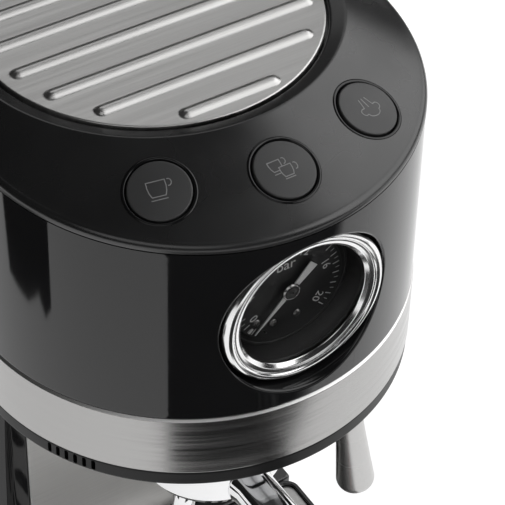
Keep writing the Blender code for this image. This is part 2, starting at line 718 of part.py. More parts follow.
def make_base():
    block_front = TRAY_BACK + 0.0005

    def block_outline(inset):
        return rounded_box(
            (inset - BASE_RADIUS, block_front + inset), (BASE_RADIUS - inset, BASE_BACK - inset),
            0.001, BASE_CORNER - min(inset, BASE_WALL))

    housing = plate("base_housing", [block_outline(0)], BASE_BOTTOM, BASE_TOP, SATIN_BLACK)
    floor_top = TRAY_BOTTOM - GAP
    deck = plate("base_deck", [base_outline(0, 0.06)], BASE_BOTTOM, floor_top, SATIN_BLACK, cutter=True)
    join(housing, deck)
    cavity_top = BASE_TOP - BASE_WALL
    wall_depth = Vector((0, 0.01, 0))
    cut(
        housing,
        plate("base_cavity", [block_outline(BASE_WALL)], 0.0, cavity_top, SATIN_BLACK, cutter=True),
        block("cable_way", (-0.052, 0.052, 0.03), (0.052, 0.100, 0.05), SATIN_BLACK, cutter=True),
        rod("dock_hole", (0, TANK_VALVE_Y, 0.03), (0, TANK_VALVE_Y, 0.05), 0.0052, 16),
        block("switch_hole", (-0.0068, -0.01, -0.0108), (0.0068, 0.01, 0.0108), SATIN_BLACK,
              place=SWITCH_PLACE, cutter=True),
        rod("gland_hole", GLAND_PLACE - wall_depth, GLAND_PLACE + wall_depth, 0.0065, 20),
    )
    cover = [block_outline(BASE_WALL + GAP)]
    plate("base_cover", cover, BASE_BOTTOM, BASE_BOTTOM + 0.0022, DARK_GREY)
    foot = [(0, BASE_BOTTOM - GAP), (0.0085, BASE_BOTTOM - GAP), (0.0090, 0.0030), (0.0082, 0), (0, 0)]
    for name, (x, y) in FOOT_PLACES.items():
        turned(f"foot_{name}", foot, RUBBER, (x, y, 0), steps=16)


def make_drip_tray():
    ledge_z, floor_z, rim, ledge = 0.0375, 0.0106, 0.0020, 0.0030

    def tray_outline(inset):
        return d_outline(BASE_RADIUS - inset, BASE_CENTRE_Y, TRAY_BACK - inset, 0.0062 - inset, 28)

    loft("drip_tray", [
        raised(tray_outline(0.0012), TRAY_BOTTOM), raised(tray_outline(0), TRAY_BOTTOM + 0.0012),
        raised(tray_outline(0), BASE_TOP - 0.0006), raised(tray_outline(0.0006), BASE_TOP),
        raised(tray_outline(rim), BASE_TOP), raised(tray_outline(rim), ledge_z),
        raised(tray_outline(rim + ledge), ledge_z), raised(tray_outline(rim + ledge), floor_z),
    ], SATIN_BLACK)
    slots = []
    pitch, half_width, rows = 0.0098, 0.0024, 6
    for i in range(-rows, rows + 1):
        x = pitch * i
        front = BASE_CENTRE_Y - math.sqrt((BASE_RADIUS - 0.012) ** 2 - x ** 2)
        back = TRAY_BACK - 0.012
        middle = (front + back) / 2
        if i == 0:
            front += 0.0125
        for low, high in ((front, middle - 0.004), (middle + 0.004, back)):
            slots.append(slot_outline((x, (low + high) / 2), (high - low) / 2, half_width, 3, upright=True))
    float_y = BASE_CENTRE_Y - BASE_RADIUS + 0.0145
    float_hole = arc((0, float_y), 0.0058, 0, 340, 17)
    grid = [tray_outline(rim + GAP), *slots, float_hole]
    plate("drip_grid", grid, ledge_z + GAP, ledge_z + 0.0018, STEEL)
    turned("tray_float", [
        (0, 0.0396), (0.0044, 0.0396), (0.0050, 0.0388), (0.0050, 0.0330), (0.0080, 0.0325),
        (0.0080, 0.0250), (0.0030, 0.0250), (0.0030, 0.0109), (0, 0.0109),
    ], RED, (0, float_y, 0), steps=16)


# ---------------------------------------------------------------- column and what it holds

def make_column():
    outer = rounded_box((-COLUMN_HALF, COLUMN_FRONT), (COLUMN_HALF, COLUMN_BACK + 0.02), 0.012, 0.001)
    inner_half = COLUMN_HALF - COLUMN_WALL
    inner = rounded_box(
        (-inner_half, COLUMN_FRONT + COLUMN_WALL), (inner_half, COLUMN_BACK + 0.03), 0.0095, 0.001)
    column = plate("column_shell", [outer], BASE_TOP + GAP, COLUMN_TOP, GLOSS_BLACK)
    cut(
        column,
        plate("column_inside", [inner], 0.03, 0.22, GLOSS_BLACK, cutter=True),
        block("column_rear", (-0.08, COLUMN_BACK, 0.03), (0.08, 0.16, 0.22), GLOSS_BLACK, cutter=True),
    )
    panel = rounded_box((-SPLASH_HALF, SPLASH_BOTTOM), (SPLASH_HALF, SPLASH_TOP), 0.006, 0.006)
    plate("splash_panel", [panel], 0, 0.001, STEEL, FRONT, (0, COLUMN_FRONT - GAP, 0))
    cover = rounded_box((-0.0665, 0.0443), (0.0665, 0.2060), 0.004, 0.004)
    cover_back = COLUMN_BACK + GAP + REAR_COVER_THICKNESS
    plate("rear_cover", [cover], 0, REAR_COVER_THICKNESS, DARK_GREY, FRONT, (0, cover_back, 0))
    head = [(0, 0.0015), (0.0022, 0.0015), (0.0030, 0.0008), (0.0030, 0), (0, 0)]
    for i, z in enumerate(COVER_SCREW_HEIGHTS, 1):
        turned(f"cover_screw_{i}", head, STEEL, (0, cover_back + GAP, z), REAR, 16)


def make_works():
    half, front, back, bottom, top = 0.032, -0.0283, 0.047, 0.2364, 0.2700
    block("thermoblock", (-half, front, bottom), (half, back, top), ALUMINIUM, 0.002)
    turned("pump", [
        (0, 0.1450), (0.0060, 0.1450), (0.0060, 0.1330), (0.0140, 0.1310), (0.0140, 0.1200),
        (0.0210, 0.1200), (0.0210, 0.0800), (0.0140, 0.0800), (0.0140, 0.0680), (0.0060, 0.0660),
        (0.0060, 0.0600), (0, 0.0600),
    ], WHITE, (0.030, 0.078, 0), steps=14)
    block("control_board", (-0.0600, 0.060, 0.070), (-0.0580, 0.105, 0.170), GREEN)
    tube("suction_hose", [
        (0, TANK_VALVE_Y, 0.0345), (0.001, 0.140, 0.024), (0.010, 0.118, 0.018), (0.022, 0.094, 0.020),
        (0.029, 0.080, 0.036), (0.030, 0.078, 0.0597),
    ], 0.003, WHITE)
    tube("pressure_hose", [
        (0.030, 0.078, 0.1453), (0.029, 0.081, 0.175), (0.024, 0.083, 0.215), (0.015, 0.076, 0.246),
        (0.012, 0.0620, 0.2535), (0.012, back + GAP, 0.2540),
    ], 0.0025, WHITE)


# ---------------------------------------------------------------- water tank

def make_tank():
    def tank_outline(inset):
        return rounded_box(
            (inset - TANK_HALF, TANK_FRONT + inset), (TANK_HALF - inset, TANK_BACK - inset),
            0.006 - inset, 0.014 - inset)

    tank = loft("water_tank", [
        raised(tank_outline(0.0010), TANK_BOTTOM), raised(tank_outline(0), TANK_BOTTOM + 0.0020),
        raised(tank_outline(0), TANK_TOP), raised(tank_outline(TANK_WALL), TANK_TOP),
        raised(tank_outline(TANK_WALL), TANK_BOTTOM + TANK_WALL),
    ], SMOKE)
    cut(tank, rod("valve_hole", (0, TANK_VALVE_Y, 0.03), (0, TANK_VALVE_Y, 0.06), TANK_VALVE_HOLE, 20))
    lid_bottom = TANK_TOP + GAP
    lid = plate("tank_lid", [tank_outline(0)], 0, LID_THICKNESS, SATIN_BLACK,
                place=(0, 0, lid_bottom), bevel=0.0008)
    hinge = Vector((0, TANK_BACK + GAP, lid_bottom - 0.0001))
    move_origin(lid, hinge)
    turned("tank_valve", [
        (0, 0.0590), (0.0060, 0.0590), (0.0075, 0.0560), (0.0075, 0.0492), (0.0112, 0.0492),
        (0.0112, 0.0466), (0.0080, 0.0466), (0.0080, 0.0425), (0.0047, 0.0420), (0.0047, 0.0368),
        (0, 0.0368),
    ], WHITE, (0, TANK_VALVE_Y, 0), steps=16)


def move_origin(item, place):
    """Moves an object's origin to its joint, and leaves its shape where it is."""
    item.data.transform(Matrix.Translation(item.location - place))
    item.location = place


# ---------------------------------------------------------------- rear of the base

def make_power():
    half_height, face, valley, off_tilt = 0.0097, 0.0048, 0.0038, -6.0
    outline = [
        (-0.002, -half_height), (face, -half_height), (valley, 0), (face, half_height),
        (-0.002, half_height),
    ]
    upright = Matrix(((0, 0, 1, 0), (1, 0, 0, 0), (0, 1, 0, 0), (0, 0, 0, 1)))
    tilt = Matrix.Rotation(math.radians(off_tilt), 4, "X")
    plate("power_rocker", [outline], -0.0062, 0.0062, GLOSS_BLACK, tilt @ upright, SWITCH_PLACE)
    turned("cord_gland", [
        (0.0070, 0.0025), (0.0088, 0.0012), (0.0090, 0), (0.0062, 0), (0.0062, -0.0055),
        (0.0036, -0.0055), (0.0036, 0.0025),
    ], RUBBER, GLAND_PLACE, REAR, 18, ring=True)


make_head()
make_buttons()
make_gauge()
make_group()
make_portafilter()
make_steam()
make_base()
make_drip_tray()
make_column()
make_works()
make_tank()
make_power()
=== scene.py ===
"""The looks of a home espresso machine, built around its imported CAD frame.

Lengths are in millimetres; stand() brings them to the scene's metres. Pieces are modelled in the design
frame: the axis of the round head is the Z axis, the front faces -Y, and AXIS is where that frame stands
in the row frame.
"""

import json
import math

import bmesh
import bpy
from mathutils import Matrix, Vector

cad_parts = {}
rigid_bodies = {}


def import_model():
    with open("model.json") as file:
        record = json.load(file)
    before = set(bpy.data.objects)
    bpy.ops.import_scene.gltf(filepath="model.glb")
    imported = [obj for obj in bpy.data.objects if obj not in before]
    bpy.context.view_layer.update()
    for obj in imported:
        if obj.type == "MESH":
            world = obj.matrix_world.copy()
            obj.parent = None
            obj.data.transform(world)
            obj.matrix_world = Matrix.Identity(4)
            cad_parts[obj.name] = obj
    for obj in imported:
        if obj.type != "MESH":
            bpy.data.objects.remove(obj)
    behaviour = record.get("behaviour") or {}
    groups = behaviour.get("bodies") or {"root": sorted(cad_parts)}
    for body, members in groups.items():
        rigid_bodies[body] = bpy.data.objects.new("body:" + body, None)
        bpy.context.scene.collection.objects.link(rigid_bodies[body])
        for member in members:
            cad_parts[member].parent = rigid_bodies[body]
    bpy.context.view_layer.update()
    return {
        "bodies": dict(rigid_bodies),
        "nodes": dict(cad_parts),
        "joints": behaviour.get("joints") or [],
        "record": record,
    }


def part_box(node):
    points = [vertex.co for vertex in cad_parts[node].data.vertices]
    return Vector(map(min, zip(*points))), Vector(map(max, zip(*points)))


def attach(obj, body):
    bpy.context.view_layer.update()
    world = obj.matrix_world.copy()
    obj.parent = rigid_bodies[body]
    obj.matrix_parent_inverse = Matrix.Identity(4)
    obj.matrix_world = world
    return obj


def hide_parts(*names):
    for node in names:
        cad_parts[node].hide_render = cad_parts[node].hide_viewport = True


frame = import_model()

# ---- sizes, read from the frame

MM = 0.001
BAND_CORNERS = [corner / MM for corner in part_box("steel_band")]
HEAD_RADIUS = (BAND_CORNERS[1].x - BAND_CORNERS[0].x) / 2
AXIS = Vector(((BAND_CORNERS[0].x + BAND_CORNERS[1].x) / 2, BAND_CORNERS[0].y + HEAD_RADIUS, 0))


def low(node):
    """Lowest corner of a CAD node, in the design frame."""
    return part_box(node)[0] / MM - AXIS


def high(node):
    """Highest corner of a CAD node, in the design frame."""
    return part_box(node)[1] / MM - AXIS


def middle(node):
    return (low(node) + high(node)) / 2


def turned(degrees, axis="Z"):
    return Matrix.Rotation(math.radians(degrees), 4, axis)


HEAD_BACK = high("steel_band").y
HEAD_CORNER = 12
LIP_BOTTOM = low("head_floor").z
BAND_BOTTOM, BAND_TOP = low("steel_band").z, high("steel_band").z
SHELL_BOTTOM = low("head_shell").z
EDGE_TILT, EDGE_HEIGHT = 0.084, 331.4
"""The cap's outer edge lies in a plane that drops towards the front."""
CAP_INSET, CAP_FILLET, CAP_SKIRT = 0.7, 2.6, 3.4
RIM_RADIUS, RIM_TOP = 70.5, 340.4
RECESS_RADIUS, RECESS_FLOOR = 64.5, 334.5
PLATE_CENTRE = middle("cup_plate").xy
PLATE_CENTRE.x = 0
PLATE_RADIUS = (high("cup_plate").x - low("cup_plate").x) / 2
RIB_HEIGHT = 1.6
PLATE_TOP = high("cup_plate").z - RIB_HEIGHT

BUTTON_PLACES = {"one_cup": (-38.4, 66.7), "two_cups": (0.0, 64.0), "steam": (38.4, 66.7)}
"""For each button its angle from the front, in degrees, and its distance from the head's axis."""
BUTTON_RADIUS = 11
RING_OUTER, RING_INNER = 12.85, 11.3

GAUGE_SEAT = Vector((0, high("gauge_bezel").y + 0.5, middle("gauge_bezel").z))
POCKET_RADIUS, CASE_RADIUS = 33.5, 26.9
DIAL_FACE = -5.6

GROUP_Y = middle("group_head").y
NECK_Z = 159.6
HANDLE_START = high("portafilter_handle").y
WAND_PIVOT = Vector((57.0, -22.7, 199.0))
WAND_TIP = Vector((68.8, -26.7, 96.8))
KNOB_PLACE = Vector((86.2, *middle("steam_knob").yz))

BASE_BOTTOM, BASE_TOP = low("base_housing").z, high("base_housing").z
BASE_RADIUS, BASE_BACK = high("base_housing").xy
BASE_CENTRE_Y, BASE_CORNER, BASE_WALL = -15, 12, 2.5
TRAY_BACK, TRAY_BOTTOM = high("drip_tray").y, low("drip_tray").z
SWITCH_PLACE = Vector((-45, 174.5, 23))
GLAND_PLACE = Vector((45, 176.3, 23))
COLUMN_LOW, COLUMN_HIGH = low("column_shell"), high("column_shell")
TANK_LOW, TANK_HIGH = low("water_tank"), high("water_tank")
TANK_WALL = 2.2
TANK_VALVE_Y = 145

FRONT, REAR, RIGHT = turned(90, "X"), turned(-90, "X"), turned(90, "Y")

record = frame["record"]
BODY_OF = {node: body for body, nodes in record["behaviour"]["bodies"].items() for node in nodes}


# ---- materials

def add_node(tree, kind, output, inputs=None, **settings):
    """Adds a shader node, sets or links its inputs, and returns one of its outputs."""
    made = tree.nodes.new("ShaderNode" + kind)
    for key, value in settings.items():
        setattr(made, key, value)
    for key, value in (inputs or {}).items():
        if isinstance(value, bpy.types.NodeSocket):
            tree.links.new(value, made.inputs[key])
        else:
            made.inputs[key].default_value = value
    return made.outputs[output]


class Look:
    """A Principled material, with helpers that wire procedural detail into it. Its lengths are in metres."""

    def __init__(self, name, colour, roughness, metallic=0.0, **sockets):
        self.material = bpy.data.materials.new(name + "_look")
        self.material.use_nodes = True
        self.tree = self.material.node_tree
        self.shader = self.tree.nodes["Principled BSDF"]
        self.colour, self.roughness = colour, roughness
        sockets.update(Base_Color=(*colour, 1.0), Roughness=roughness, Metallic=metallic)
        for socket, value in sockets.items():
            self.shader.inputs[socket.replace("_", " ")].default_value = value

    def node(self, kind, output, inputs=None, **settings):
        return add_node(self.tree, kind, output, inputs, **settings)

    def link(self, value, socket):
        self.tree.links.new(value, self.shader.inputs[socket])

    def noise(self, scale, detail=3.0, vector=None):
        """Noise of the given fineness, in features per metre."""
        vector = vector or self.node("TexCoord", "Object")
        inputs = {"Vector": vector, "Scale": scale, "Detail": detail, "Roughness": 0.55}
        return self.node("TexNoise", "Fac", inputs)

    def span(self, value, low_end, high_end, start=0.3, stop=0.7):
        """Maps the value from start..stop to the two ends."""
        return self.node("MapRange", "Result", {
            "Value": value, "From Min": start, "From Max": stop, "To Min": low_end, "To Max": high_end})

    def vary_colour(self, value, darkest, lightest):
        """Lets the base colour follow a texture value."""
        dark = [darkest * c for c in self.colour] + [1.0]
        light = [min(1.0, lightest * c) for c in self.colour] + [1.0]
        mixed = self.node("Mix", "Result", {"Factor": value, "A": dark, "B": light}, data_type="RGBA")
        self.link(mixed, "Base Color")

    def vary_roughness(self, value, spread):
        self.link(self.span(value, self.roughness - spread, self.roughness + spread), "Roughness")

    def bump(self, value, distance):
        self.link(self.node("Bump", "Normal", {"Height": value, "Distance": distance}), "Normal")


def moulded_look(name, colour, roughness, grain=2600, depth=0.00001, spread=0.05, **sockets):
    """Moulded plastic or rubber: fine grain, slow changes of gloss and a trace of uneven colour."""
    look = Look(name, colour, roughness, **sockets)
    slow = look.noise(35, 2.0)
    look.vary_colour(slow, 0.88, 1.12)
    look.vary_roughness(slow, spread)
    look.bump(look.noise(grain, 2.0), depth)
    return look.material


def brushed_look(name, colour, roughness, streaks, depth, anisotropy=0.7, contrast=0.12):
    """Brushed metal. Its lines follow the U direction of the mesh's brush map, which is in metres."""
    look = Look(name, colour, roughness, 1.0, Anisotropic=anisotropy)
    along = look.node("UVMap", "UV", uv_map="brush")
    fine = look.node("Mapping", "Vector", {"Vector": along, "Scale": (28.0, streaks, 1.0)})
    broad = look.node("Mapping", "Vector", {"Vector": along, "Scale": (9.0, streaks / 5, 1.0)})
    lines = look.noise(1.0, 4.0, fine)
    look.vary_colour(lines, 1 - contrast, 1 + contrast)
    look.vary_roughness(look.noise(1.0, 2.0, broad), 0.05)
    look.bump(lines, depth)
    look.link(look.node("Tangent", "Tangent", direction_type="UV_MAP", uv_map="brush"), "Tangent")
    return look.material


def polished_look(name, colour, roughness, spread=0.02):
    """Polished metal, with the faintest wipe marks."""
    look = Look(name, colour, roughness, 1.0)
    haze = look.noise(60)
    look.vary_colour(haze, 0.96, 1.02)
    look.vary_roughness(haze, spread)
    return look.material


def cast_look(name, colour, roughness):
    """Cast metal with a fine sandy skin."""
    look = Look(name, colour, roughness, 1.0)
    look.vary_colour(look.noise(220), 0.85, 1.08)
    look.vary_roughness(look.noise(90, 2.0), 0.07)
    look.bump(look.noise(1500), 0.00003)
    return look.material


def clear_look(name, colour, roughness, alpha, ior):
    """Thin clear plastic or glass that lets light straight through, with slight changes of polish."""
    look = Look(name, colour, roughness, IOR=ior, Alpha=alpha)
    haze = look.noise(40, 2.0)
    look.vary_colour(haze, 0.85, 1.15)
    look.vary_roughness(haze, roughness * 0.5)
    return look.material


SATIN_BLACK = moulded_look(
    "satin_black", (0.018, 0.018, 0.0185), 0.27, 3200, 0.000005, Specular_IOR_Level=0.9)
GLOSS_BLACK = moulded_look("gloss_black", (0.0095, 0.0095, 0.010), 0.055, 500, 0.0000006, 0.02)
DARK_GREY = moulded_look("dark_grey", (0.009, 0.0091, 0.0093), 0.40, Specular_IOR_Level=0.25)
CHARCOAL = moulded_look("charcoal", (0.036, 0.036, 0.037), 0.5, 3500, Specular_IOR_Level=0.9)
PLATE_STEEL = brushed_look("plate_steel", (0.70, 0.695, 0.685), 0.35, 2600, 0.000006)
BAND_STEEL = brushed_look("band_steel", (0.41, 0.405, 0.40), 0.20, 3200, 0.0000008, contrast=0.05)
TURNED_STEEL = brushed_look("turned_steel", (0.52, 0.515, 0.51), 0.24, 5000, 0.000003, 0.5)
CHROME = polished_look("chrome", (0.86, 0.86, 0.865), 0.06)
BEZEL_CHROME = polished_look("bezel_chrome", (0.84, 0.84, 0.84), 0.15)
DARK_METAL = polished_look("dark_metal", (0.26, 0.255, 0.25), 0.3, 0.06)
CREST_METAL = polished_look("band_crest", (0.85, 0.845, 0.84), 0.38)
SATIN_METAL = polished_look("satin_metal", (0.62, 0.615, 0.61), 0.22, 0.05)
ALUMINIUM = cast_look("aluminium", (0.58, 0.585, 0.59), 0.4)
BRASS = cast_look("brass", (0.68, 0.47, 0.2), 0.3)
RUBBER = moulded_look("rubber", (0.016, 0.016, 0.016), 0.72, 1800, 0.00002)
WHITE = moulded_look("white_plastic", (0.72, 0.71, 0.67), 0.4, 1500)
HOSE = moulded_look("hose", (0.66, 0.65, 0.62), 0.3, 900)
RED = moulded_look("red_plastic", (0.55, 0.025, 0.018), 0.3, 1500)
DIAL_BLACK = moulded_look("dial_black", (0.006, 0.006, 0.0062), 0.5, 3000, 0.000008)
CASE_BLACK = moulded_look("case_black", (0.013, 0.0125, 0.0125), 0.35, 2500)
PRINT = moulded_look("dial_print", (0.55, 0.55, 0.55), 0.5, 4000, 0.000004)
ICON_GREY = moulded_look("icon_print", (0.34, 0.34, 0.34), 0.5, 4000, 0.000004)
BOARD = moulded_look("board_green", (0.012, 0.11, 0.045), 0.35, 1200)
GLASS = clear_look("gauge_glass", (0.01, 0.01, 0.01), 0.01, 0.10, 2.2)
SMOKE = clear_look("smoked_plastic", (0.030, 0.031, 0.034), 0.06, 0.42, 1.7)


# ---- outlines, as lists of (x, y)

def arc(centre, radius, start, end, steps):
    """Points along an arc, both ends included; angles in degrees, anticlockwise from +X."""
    angles = [math.radians(start + (end - start) * i / steps) for i in range(steps + 1)]
    return [(centre[0] + radius * math.cos(a), centre[1] + radius * math.sin(a)) for a in angles]


def circle(radius, steps):
    return arc((0, 0), radius, 0, 360, steps)[:-1]


def quarter(radius, degrees):
    """Steps round a filleted edge: how far each has come in from the side, and down from the top."""
    bends = [math.radians(turn) for turn in degrees]
    return [(radius * (1 - math.cos(bend)), radius * (1 - math.sin(bend))) for bend in bends]


def between(first, last, steps):
    """Points inside a straight run, both ends left out."""
    return [tuple(Vector(first).lerp(Vector(last), i / steps)) for i in range(1, steps)]


WALL_STEPS = (24, 64, 24)
"""Columns of the round front: left of the gauge's panel, across it, and right of it."""
PANEL_EDGE_DEG = 230


def d_outline(radius, centre_y, back, corner, side=12, rear=20):
    """Round at the front, straight sides, a flat back with rounded corners."""
    stops = (180, PANEL_EDGE_DEG, 540 - PANEL_EDGE_DEG, 360)
    front = [(-radius, centre_y)]
    for start, end, steps in zip(stops, stops[1:], WALL_STEPS):
        front += arc((0, centre_y), radius, start, end, steps)[1:]
    right = arc((radius - corner, back - corner), corner, 0, 90, 12)
    left = arc((corner - radius, back - corner), corner, 90, 180, 12)
    return (
        front + between(front[-1], right[0], side) + right
        + between(right[-1], left[0], rear) + left + between(left[-1], front[0], side)
    )


def head_outline(inset):
    return d_outline(HEAD_RADIUS - inset, 0, HEAD_BACK - inset, HEAD_CORNER - inset)


def rounded_box(low_corner, high_corner, front_corner, rear_corner, steps=10):
    """A rectangle with its front (-Y) and rear (+Y) corners rounded."""
    (x0, y0), (x1, y1) = low_corner, high_corner
    f, r = front_corner, rear_corner
    return (
        arc((x0 + f, y0 + f), f, 180, 270, steps) + arc((x1 - f, y0 + f), f, 270, 360, steps)
        + arc((x1 - r, y1 - r), r, 0, 90, steps) + arc((x0 + r, y1 - r), r, 90, 180, steps)
    )


def slot_outline(centre, half_length, radius, steps=8, upright=False):
    """A slot with round ends, along X, or along Y when upright."""
    reach = half_length - radius
    points = arc((reach, 0), radius, -90, 90, steps) + arc((-reach, 0), radius, 90, 270, steps)
    if upright:
        points = [(-y, x) for x, y in points]
    return [(centre[0] + x, centre[1] + y) for x, y in points]


def raised(outline, z):
    return [(x, y, z) for x, y in outline]


def rounded(profile, radius, segments=4, loop=False):
    """A profile with its corners rounded off, and a point on the flat close to each. Open ends stay."""
    points = [Vector(point) for point in profile]
    count = len(points)
    result = []
    for i, point in enumerate(points):
        before = points[i - 1] - point
        after = points[(i + 1) % count] - point
        at_end = not loop and i in (0, count - 1)
        bend = 0 if at_end else math.pi - before.angle(after)
        if bend < math.radians(10):
            result.append(point)
            continue
        cut = min(radius * math.tan(bend / 2), 0.4 * before.length, 0.4 * after.length)
        before, after = before.normalized() * cut, after.normalized() * cut
        result.append(point + before * 1.2)
        for k in range(segments + 1):
            t = k / segments
            result.append(point + (1 - t) ** 2 * before + t * t * after)
        result.append(point + after * 1.2)
    return [tuple(point) for point in result]


# ---- meshes

def linked(name, data):
    """A new object in the scene."""
    item = bpy.data.objects.new(name, data)
    bpy.context.scene.collection.objects.link(item)
    return item


def baked(holders):
    """The final mesh of the first object. All of the objects go."""
    graph = bpy.context.evaluated_depsgraph_get()
    mesh = bpy.data.meshes.new_from_object(holders[0].evaluated_get(graph))
    for holder in holders:
        bpy.data.objects.remove(holder)
    return mesh


def opened(*meshes):
    """A bmesh of what the meshes hold."""
    build = bmesh.new()
    for mesh in meshes:
        build.from_mesh(mesh)
    return build


def mesh_from(build, angle=35, outward=True):
    """Ends a bmesh as a smooth-shaded mesh, sharp where faces meet above the angle."""
    if outward:
        bmesh.ops.recalc_face_normals(build, faces=build.faces)
    mesh = bpy.data.meshes.new("piece")
    build.to_mesh(mesh)
    build.free()
    mesh.shade_smooth()
    mesh.set_sharp_from_angle(angle=math.radians(angle))
    return mesh


def add_ring_faces(build, rows, closed_rows=False, gap=()):
    """Quads between rows of equal length, except at the columns in the gap. A row of one vertex is a pole."""
    for first, second in zip(rows, rows[1:] + (rows[:1] if closed_rows else [])):
        steps = max(len(first), len(second))
        for i in range(steps):
            j = (i + 1) % steps
            corners = [(first, i), (first, j), (second, j), (second, i)]
            corners = list(dict.fromkeys(row[k % len(row)] for row, k in corners))
            if len(corners) > 2 and i not in gap:
                build.faces.new(corners)


def skin(rings, closed=False, angle=35):
    """Skins rings of equal length. The end rings are filled, or joined to each other when closed."""
    build = bmesh.new()
    rows = [[build.verts.new(point) for point in ring] for ring in rings]
    if not closed:
        build.faces.new(rows[0])
        build.faces.new(rows[-1])
    add_ring_faces(build, rows, closed)
    return mesh_from(build, angle)


def lathe(profile, steps=96, loop=False, angle=35):
    """Turns a profile of (radius, height) about local Z. A loop joins its ends."""
    build = bmesh.new()
    rows = []
    for radius, height in profile:
        ring = circle(radius, steps) if radius > 0.0001 else [(0, 0)]
        rows.append([build.verts.new(point) for point in raised(ring, height)])
    add_ring_faces(build, rows, loop)
    return mesh_from(build, angle)


def spin(profile, fillet, steps=96, loop=False, segments=4, angle=35):
    """Turns a profile after rounding its corners."""
    return lathe(rounded(profile, fillet, segments, loop), steps, loop, angle)


def sweep(points, radius, sides=20, smooth_steps=8):
    """A round tube along a smooth curve through the points, with filled ends."""
    path = smooth_path([Vector(point) for point in points], smooth_steps)
    normal = (path[1] - path[0]).orthogonal()
    rings = []
    for i, point in enumerate(path):
        ahead = (path[min(i + 1, len(path) - 1)] - path[max(i - 1, 0)]).normalized()
        normal = (normal - ahead * normal.dot(ahead)).normalized()
        side = ahead.cross(normal)
        rings.append([point + normal * x + side * y for x, y in circle(radius, sides)])
    return skin(rings, angle=50)


def smooth_path(points, steps):
    """Catmull-Rom points through a route."""
    if steps < 2 or len(points) < 3:
        return points
    ends = [2 * points[0] - points[1], *points, 2 * points[-1] - points[-2]]
    path = []
    for a, b, c, d in zip(ends, ends[1:], ends[2:], ends[3:]):
        for t in (i / steps for i in range(steps)):
            bends = (2 * a - 5 * b + 4 * c - d) * t * t + (3 * b - a - 3 * c + d) * t ** 3
            path.append(0.5 * (2 * b + (c - a) * t + bends))
    return [*path, points[-1]]


def slab(outlines, bottom, top, edge=0.0):
    """A flat outline given thickness; outlines after the first are holes. Edges are rounded by edge."""
    curve = bpy.data.curves.new("slab", "CURVE")
    curve.dimensions = "2D"
    curve.fill_mode = "BOTH"
    curve.extrude = (top - bottom) / 2
    for outline in outlines:
        spline = curve.splines.new("POLY")
        spline.points.add(len(outline) - 1)
        spline.use_cyclic_u = True
        for point, place in zip(spline.points, outline):
            point.co = (*place, 0, 1)
    build = opened(baked([linked("slab", curve)]))
    bmesh.ops.remove_doubles(build, verts=build.verts, dist=0.0001)
    bmesh.ops.translate(build, verts=build.verts, vec=(0, 0, (top + bottom) / 2))
    if edge:
        soften(build, edge, 60)
    return mesh_from(build)


def soften(build, width, angle=40):
    """Rounds the edges whose faces meet above the angle."""
    edges = [
        edge for edge in build.edges
        if len(edge.link_faces) == 2 and edge.calc_face_angle() > math.radians(angle)
    ]
    bmesh.ops.bevel(
        build, geom=edges, offset=width, segments=3, profile=0.5, affect="EDGES", clamp_overlap=True)


def brick(low_corner, high_corner, edge=0.0):
    """A box with rounded edges."""
    build = bmesh.new()
    bmesh.ops.create_cube(build, size=1.0)
    for vertex in build.verts:
        vertex.co = [(a + b) / 2 + (b - a) * c for a, b, c in zip(low_corner, high_corner, vertex.co)]
    if edge:
        soften(build, edge)
    return mesh_from(build)


def moved(mesh, place=(0, 0, 0), turn=None):
    mesh.transform(Matrix.Translation(place) @ (turn or Matrix.Identity(4)))
    return mesh


def merged(meshes):
    """Several meshes as one, without a union: they touch or lie apart."""
    build = opened(*meshes)
    mesh = bpy.data.meshes.new("merged")
    build.to_mesh(mesh)
    build.free()
    return mesh


def carve(mesh, cutters, operation="DIFFERENCE", angle=35):
    """Cuts the cutters out of the mesh, or joins them to it."""
    holders = [linked("carve", each) for each in (mesh, *cutters)]
    for tool in holders[1:]:
        change = holders[0].modifiers.new("carve", "BOOLEAN")
        change.operation = operation
        change.object = tool
        change.solver = "EXACT"
    build = opened(baked(holders))
    bmesh.ops.remove_doubles(build, verts=build.verts, dist=0.0005)
    return mesh_from(build, angle, outward=False)


def pin(radius, bottom, top, steps=48, place=(0, 0)):
    """A plain upright cylinder, to cut with."""
    return moved(lathe([(0, top), (radius, top), (radius, bottom), (0, bottom)], steps), (*place, 0))


def brush_map(mesh, along, wrap=0.0):
    """Writes the brush map: along(co, normal) gives lengths with and across the lines; wrap is a full turn."""
    layer = mesh.uv_layers.new(name="brush")
    for polygon in mesh.polygons:
        spots = [Vector(along(mesh.vertices[v].co, polygon.normal)) for v in polygon.vertices]
        furthest = max(spot.x for spot in spots)
        for loop, spot in zip(polygon.loop_indices, spots):
            if wrap and furthest - spot.x > wrap / 2:
                spot.x += wrap
            layer.data[loop].uv = spot * MM
    return mesh


def brush_round(mesh, radius):
    """Lines that run round local Z."""
    def along(co, normal):
        across = co.z if abs(normal.z) < 0.7 else co.xy.length
        return math.atan2(co.y, co.x) * radius, across
    return brush_map(mesh, along, 2 * math.pi * radius)


def brush_straight(mesh):
    """Lines that run along local X."""
    return brush_map(mesh, lambda co, normal: co.xy)


def stand(name, mesh, place=(0, 0, 0), turn=None):
    """Brings a mesh into the scene and to metres, at a place in the design frame."""
    mesh.name = name
    mesh.transform(Matrix.Scale(MM, 4))
    item = linked(name, mesh)
    item.matrix_world = Matrix.Translation((AXIS + Vector(place)) * MM) @ (turn or Matrix.Identity(4))
    return item


def piece(name, mesh, material, node, place=(0, 0, 0), turn=None, stands_for=True):
    """Adds a piece with its material. It rides with the CAD node's body."""
    mesh.materials.clear()
    mesh.materials.append(material)
    item = stand(name, mesh, place, turn)
    item.modifiers.new("shading", "WEIGHTED_NORMAL").keep_sharp = True
    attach(item, BODY_OF[node])
    if stands_for:
        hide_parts(node)
    return item


